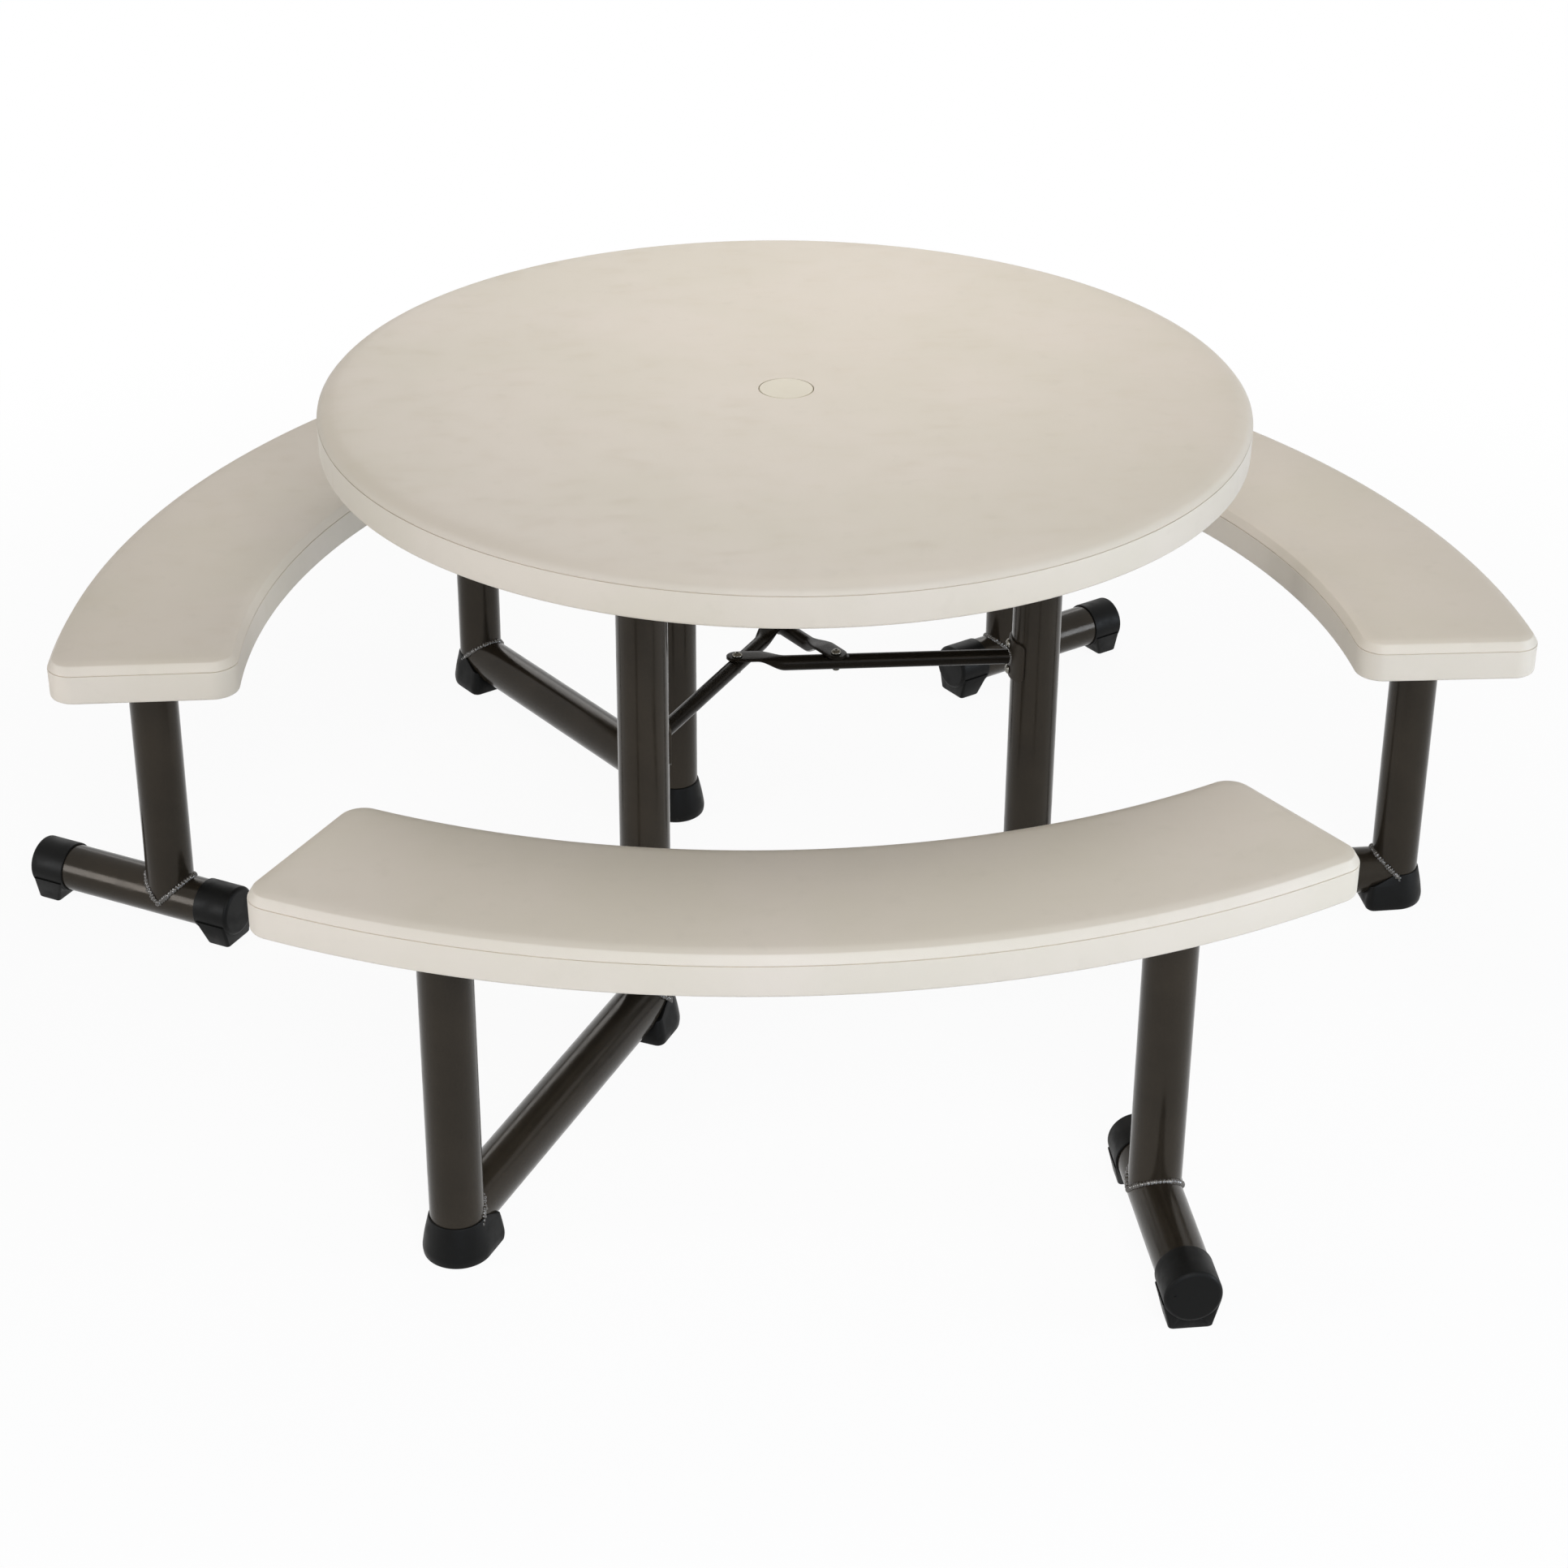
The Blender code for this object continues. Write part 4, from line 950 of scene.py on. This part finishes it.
seat.transform(Matrix.Translation(brace_base + BRACE_RUN * CROSSING
                                  + Vector((0, 0, 2 * BRACE - TAB_SEAT)))
               @ Matrix.Rotation(math.atan2(BRACE_RUN.y, BRACE_RUN.x), 4, "Z")
               @ Matrix.Diagonal((2.4 * TAB_WIDE, 4 * BRACE, 2 * BRACE, 1.0)))
three("brace_tube", shaped(brace_skin, cuts=[merged(holes), seat]), SHADED_BRACE_COAT,
      "brace")
print("brace crossing at", round(CROSSING, 4), "m, tab bolt at", round(REACH, 4), "m")

# %% [markdown]
# ## Saddles
#
# A saddle is a strip of plate rolled to the leg's radius, with rounded corners, bolted to the
# leg above and below the brace that is welded to it. Rings run up it: each is the outer arc and
# the inner arc of one height, and near the top and bottom the arcs draw in for the corners.

# %% Roll the saddles
SADDLE_HALF, SADDLE_CORNER = 0.026, 0.008
saddle_turn = math.degrees(math.acos(0.019 / SADDLE_OUT))


def saddle_ring(height, skin_in=0.0):
    over = max(0.0, abs(height) + skin_in - (SADDLE_HALF - SADDLE_CORNER))
    drawn = SADDLE_CORNER - math.sqrt(max(SADDLE_CORNER ** 2 - over ** 2, 0.0))
    half = saddle_turn - math.degrees(drawn / SADDLE_OUT)
    turns = [half * (2 * i / 28 - 1) for i in range(29)]
    arc = [polar(SADDLE_OUT, a) for a in turns] + [polar(TUBE + GAP, a) for a in reversed(turns)]
    return [raised(point, height) for point in arc]


levels = [SADDLE_HALF - SADDLE_CORNER * (1 - math.sin(math.radians(a))) for a in range(90, -1, -9)]
saddle = skin([saddle_ring(z) for z in [-v for v in levels] + list(reversed(levels))])
brace_way = math.atan2(BRACE_RUN.y, BRACE_RUN.x)
saddle.transform(Matrix.Translation(brace_base) @ Matrix.Rotation(brace_way, 4, "Z"))
three("brace_saddle_plate",
      shaped(saddle, cuts=[saddle_bolt_holes()], bevel=0.0006, bevel_angle=50),
      PLATE_COAT, "brace_saddle")
brace_weld = round_joint(aimed(brace_base, BRACE_RUN), BRACE,
                         lambda x, y: math.sqrt(SADDLE_OUT ** 2 - x * x),
                         lambda x, y: (x / SADDLE_OUT, 0.0, 1.0), steps=140, radius=0.0018,
                         pitch=0.0026, seed=7.0)
three("weld_bead_brace", shaped(brace_weld, sharp=60), WELD_COAT)

# %% [markdown]
# ## Bolts and rivets
#
# Button heads with a hexagon socket: a domed lathe, a six-sided cutter, and a plain shank. The
# saddle bolts end in rivet nuts inside the leg. The braces are clamped to each other by upright
# rivets with the same head, and their lower ends are turned over close under the brace.

# %% Turn bolts and rivets
def bolt_head(top_of_seat, place, radius=0.0064, tall=0.0038):
    """Profile of a button head above its seat and the cutter of its socket."""
    dome = soften([(0.0, top_of_seat + tall, 0), (radius * 0.55, top_of_seat + tall, 0.0012),
                   (radius, top_of_seat + tall * 0.35, 0.0008), (radius, top_of_seat, 0.0003),
                   (0.0030, top_of_seat, 0)])
    socket = lathe([(0.0, top_of_seat + tall - 0.0020), (0.0022, top_of_seat + tall - 0.0020),
                    (0.0023, top_of_seat + tall + 0.001), (0.0, top_of_seat + tall + 0.001)], 6,
                   place)
    return dome, socket


def saddle_bolt(rise):
    seat = SADDLE_OUT + GAP
    bore = (TUBE - WALL) * math.cos(math.pi / 20)
    inside = math.sqrt(bore ** 2 - 0.0048 ** 2) - GAP
    place = aimed(raised(TABLE_LEG, BRACE_Z + rise), BRACE_RUN)
    dome, socket = bolt_head(seat, place)
    tail = soften([(0.0030, inside, 0), (0.0048, inside, 0.0003), (0.0048, inside - 0.0070, 0.0008),
                   (0.0030, inside - 0.0070, 0.0003), (0.0, inside - 0.0070, 0)])
    return shaped(lathe(dome + tail, 40, place), cuts=[socket])


def crossing_rivet():
    head = BRACE_Z + TAB_RISE + TAB_THICK + GAP
    low = BRACE_Z - BRACE - GAP
    place = Matrix.Translation(raised(brace_base + BRACE_RUN * REACH, 0.0))
    dome, socket = bolt_head(head, place)
    turned_over = soften([(0.0030, low, 0), (0.0046, low, 0.0003), (0.0040, low - 0.0014, 0.0005),
                          (0.0018, low - 0.0014, 0.0004), (0.0012, low - 0.0006, 0.0003),
                          (0.0, low - 0.0006, 0)])
    return shaped(lathe(dome + turned_over, 40, place), cuts=[socket])


for stem, mesh in (("upper_saddle_bolt", saddle_bolt(BOLT_RISE)),
                   ("lower_saddle_bolt", saddle_bolt(-BOLT_RISE)),
                   ("crossing_rivet", crossing_rivet())):
    three(f"{stem}_fine", mesh, STEEL, stem)

# %% [markdown]
# ## Plates and their screws
#
# Every leg ends in a square plate under the moulding, with clipped corners and four screws. The
# screws' heads are shown here although they are too small to be solids of their own.

# %% Plates with screw heads
def plate(centre, facing, size, under):
    """A plate as rings of its clipped square, with drilled corners."""
    half, clip = size / 2, 0.008
    square = []
    for sx, sy, first in ((1, 1, True), (-1, 1, False), (-1, -1, True), (1, -1, False)):
        pair = [(sx * half, sy * (half - clip)), (sx * (half - clip), sy * half)]
        square += pair if first else pair[::-1]
    top, bottom = under - GAP, under - GAP - PLATE
    block = skin([[Vector((x, y, z)) for x, y in square] for z in (bottom, top)])
    block.transform(Matrix.Translation(centre) @ Matrix.Rotation(math.radians(facing), 4, "Z"))
    drilled = [cone(c, bottom - 0.001, PLATE + 0.003, 0.0030, 0.0030, 20)
               for c in plate_corners(centre, facing, size)]
    return shaped(block, cuts=[merged(drilled)], bevel=0.0006)


def screw_heads(places, under):
    heads = []
    face = under - GAP - PLATE
    for centre in places:
        spot = Matrix.Translation(raised(centre, 0.0))
        heads.append(lathe(soften([(0.0, face - 0.0022, 0), (0.0030, face - 0.0022, 0.0010),
                                   (0.0050, face - 0.0008, 0.0006), (0.0050, face, 0.0002),
                                   (0.0026, face, 0), (0.0026, face + 0.012, 0.0008),
                                   (0.0, face + 0.012, 0)]), 24, spot))
    crosses = []
    for centre in places:
        for turn in (0, 90):
            slot = bmesh.new()
            bmesh.ops.create_cube(slot, size=1.0)
            slot.transform(Matrix.Translation(raised(centre, face - 0.0022))
                           @ Matrix.Rotation(math.radians(turn + 20), 4, "Z")
                           @ Matrix.Diagonal((0.0046, 0.0009, 0.0024, 1.0)))
            crosses.append(slot)
    return shaped(merged(heads), cuts=[merged(crosses[::2]), merged(crosses[1::2])])


for stem, centre, turn, size, under in (
        ("table", TABLE_LEG, TABLE_LEG_TURN, TABLE_PLATE, TOP_UNDER),
        ("bench", BENCH_LEG, BENCH_LEG_TURN, BENCH_PLATE, SEAT_UNDER)):
    three(f"{stem}_plate_fine", plate(centre, -90 - turn, size, under), PLATE_COAT,
          f"{stem}_leg_plate")
    three(f"{stem}_plate_screws", screw_heads(plate_corners(centre, -90 - turn, size), under),
          STEEL)


def post_plate(unit):
    place, _, facing = t_leg(unit)
    return plate(place, facing, BENCH_PLATE, SEAT_UNDER)


def post_screws(unit):
    place, _, facing = t_leg(unit)
    return screw_heads(plate_corners(place, facing, BENCH_PLATE), SEAT_UNDER)


three("post_plate_fine", post_plate, PLATE_COAT, "t_post_plate")
three("post_plate_screws", post_screws, STEEL)

# %% [markdown]
# ## Floor
#
# The object stands on a pale floor that meets the white background. Seen by the camera or in a
# reflection, most of the floor's brightness is its own glow, 94 percent near the table and all of
# it further out. The rest comes from the lamps, so the table's soft shadow stays on it. The room
# is white in the same way for the camera, metal and glass, and lights the object only faintly.

# %% Floor and background
floor_mesh = bpy.data.meshes.new("studio_floor")
floor_skin = bmesh.new()
bmesh.ops.create_circle(floor_skin, cap_ends=True, segments=96, radius=14.0)
floor_skin.to_mesh(floor_mesh)
floor_skin.free()
floor = bpy.data.objects.new("studio_floor", floor_mesh)
bpy.context.scene.collection.objects.link(floor)

floor_paint = Finish("pale_floor", 0.9)
floor_paint.surface.inputs["Specular IOR Level"].default_value = 0.0
seen = floor_paint.node("ShaderNodeLightPath", output=0)
mirrored = floor_paint.node("ShaderNodeLightPath", output=3)
looked_at = seen.larger(mirrored)
floor_paint.feed("Base Color", floor_paint.blend(looked_at, (0.80, 0.80, 0.80), (1.0, 1.0, 1.0)))
reach = floor_paint.node("ShaderNodeVectorMath", {"operation": "LENGTH"},
                         {0: floor_paint.place()}, output=1)
glow = floor_paint.node("ShaderNodeEmission", None, {"Strength": 1.0})
shown = floor_paint.node("ShaderNodeMixShader", None, {"Fac": looked_at * (
    reach.above(1.1, 2.4) * 0.06 + 0.94)})
floor_paint.tree.links.new(floor_paint.surface.outputs[0], shown.socket.node.inputs[1])
floor_paint.tree.links.new(glow.socket, shown.socket.node.inputs[2])
floor_paint.tree.links.new(shown.socket,
                           floor_paint.tree.nodes["Material Output"].inputs["Surface"])
floor_mesh.materials.append(floor_paint.material)

world = bpy.data.worlds.new("white_room")
bpy.context.scene.world = world
world.use_nodes = True
nodes, links = world.node_tree.nodes, world.node_tree.links
room = nodes["Background"]
room.inputs["Color"].default_value = (1.0, 1.0, 1.0, 1.0)
ways = nodes.new("ShaderNodeLightPath")
looks = ways.outputs["Is Camera Ray"]
for other_ray in ("Is Glossy Ray", "Is Transmission Ray"):
    either = nodes.new("ShaderNodeMath")
    either.operation = "MAXIMUM"
    links.new(looks, either.inputs[0])
    links.new(ways.outputs[other_ray], either.inputs[1])
    looks = either.outputs[0]
strength = nodes.new("ShaderNodeMapRange")
strength.inputs["To Min"].default_value = 0.04
links.new(looks, strength.inputs["Value"])
links.new(strength.outputs[0], room.inputs["Strength"])
print("floor and room are ready")

# %% [markdown]
# ## Light
#
# The mouldings' upright sides are brighter and cooler than their tops, so most of the light comes
# from the front. A warm lamp high in front lights tops and sides alike, and two cooler ones low in
# front, one far and one close to the bench, reach the sides alone. The lamp above the rear half
# makes the top brighter towards the back. Left and right lamps light the benches' ends and draw
# the thin bright lines along the tubes, and one behind keeps the back from going black. None of
# them is seen by the camera.

# %% Lamps
def lamp(name, spot, target, width, height, power, tint=(1.0, 1.0, 1.0)):
    data = bpy.data.lights.new(name, "AREA")
    data.shape, data.size, data.size_y = "RECTANGLE", width, height
    data.energy, data.color = power, tint
    obj = bpy.data.objects.new(name, data)
    bpy.context.scene.collection.objects.link(obj)
    obj.location = spot
    obj.rotation_euler = (Vector(target) - Vector(spot)).to_track_quat("-Z", "Y").to_euler()
    obj.visible_camera = False
    return obj


lamp("high_front_light", (0.3, -4.2, 3.4), (0.0, -0.4, 0.5), 2.4, 1.6, 93, (1.0, 0.985, 0.955))
lamp("far_front_light", (0.6, -5.6, 1.2), (0.0, 0.0, 0.4), 2.8, 1.6, 58, (0.66, 0.79, 1.0))
lamp("low_front_light", (0.15, -2.3, 1.15), (0.1, -0.7, 0.45), 2.2, 0.6, 6, (0.74, 0.81, 1.0))
lamp("rear_light", (0.2, 0.45, 2.0), (0.2, 0.44, 0.7), 1.2, 1.0, 10.6, (1.0, 0.96, 0.93))
lamp("left_light", (-4.6, -1.6, 1.1), (0.0, 0.0, 0.5), 1.8, 1.8, 80, (0.96, 0.97, 1.0))
lamp("right_light", (4.6, -1.6, 1.1), (0.0, 0.0, 0.5), 1.8, 1.8, 110, (0.78, 0.87, 1.0))
lamp("back_light", (0.0, 4.8, 2.6), (0.0, 0.0, 0.6), 3.0, 1.8, 30)

# %% [markdown]
# ## Camera
#
# The camera's place, aim and lens were fitted to measured points of the object. The focal length
# and the middle of the view are in the picture's own pixels. The shift is small: it only sets the
# table in the frame as the photograph has it.

# %% Fit the camera
PICTURE, FOCAL, MIDDLE_X, MIDDLE_Y, SENSOR = 1932, 3969.7, 1029.8, 893.4, 36.0
CAMERA = AXIS + Vector((-0.28274, -3.60640, 2.17195))
yaw, pitch, roll = [math.radians(a) for a in (5.524, 27.623, 0.876)]
forward = Vector((math.sin(yaw) * math.cos(pitch), math.cos(yaw) * math.cos(pitch),
                  -math.sin(pitch)))
right = Vector((math.cos(yaw), -math.sin(yaw), 0.0))
up = right.cross(forward)
rolled_right = right * math.cos(roll) + up * math.sin(roll)
rolled_up = up * math.cos(roll) - right * math.sin(roll)
camera_data = bpy.data.cameras.new("camera")
camera_data.sensor_width = SENSOR
camera_data.lens = FOCAL / PICTURE * SENSOR
camera_data.shift_x = -(MIDDLE_X - PICTURE / 2) / PICTURE
camera_data.shift_y = (MIDDLE_Y - PICTURE / 2) / PICTURE
camera = bpy.data.objects.new("camera", camera_data)
turn = Matrix((rolled_right, rolled_up, -forward)).transposed().to_4x4()
camera.matrix_world = Matrix.Translation(CAMERA) @ turn
bpy.context.scene.collection.objects.link(camera)
bpy.context.scene.camera = camera
bpy.context.scene.view_settings.view_transform = "Standard"
print("lens", round(camera_data.lens, 2), "mm")
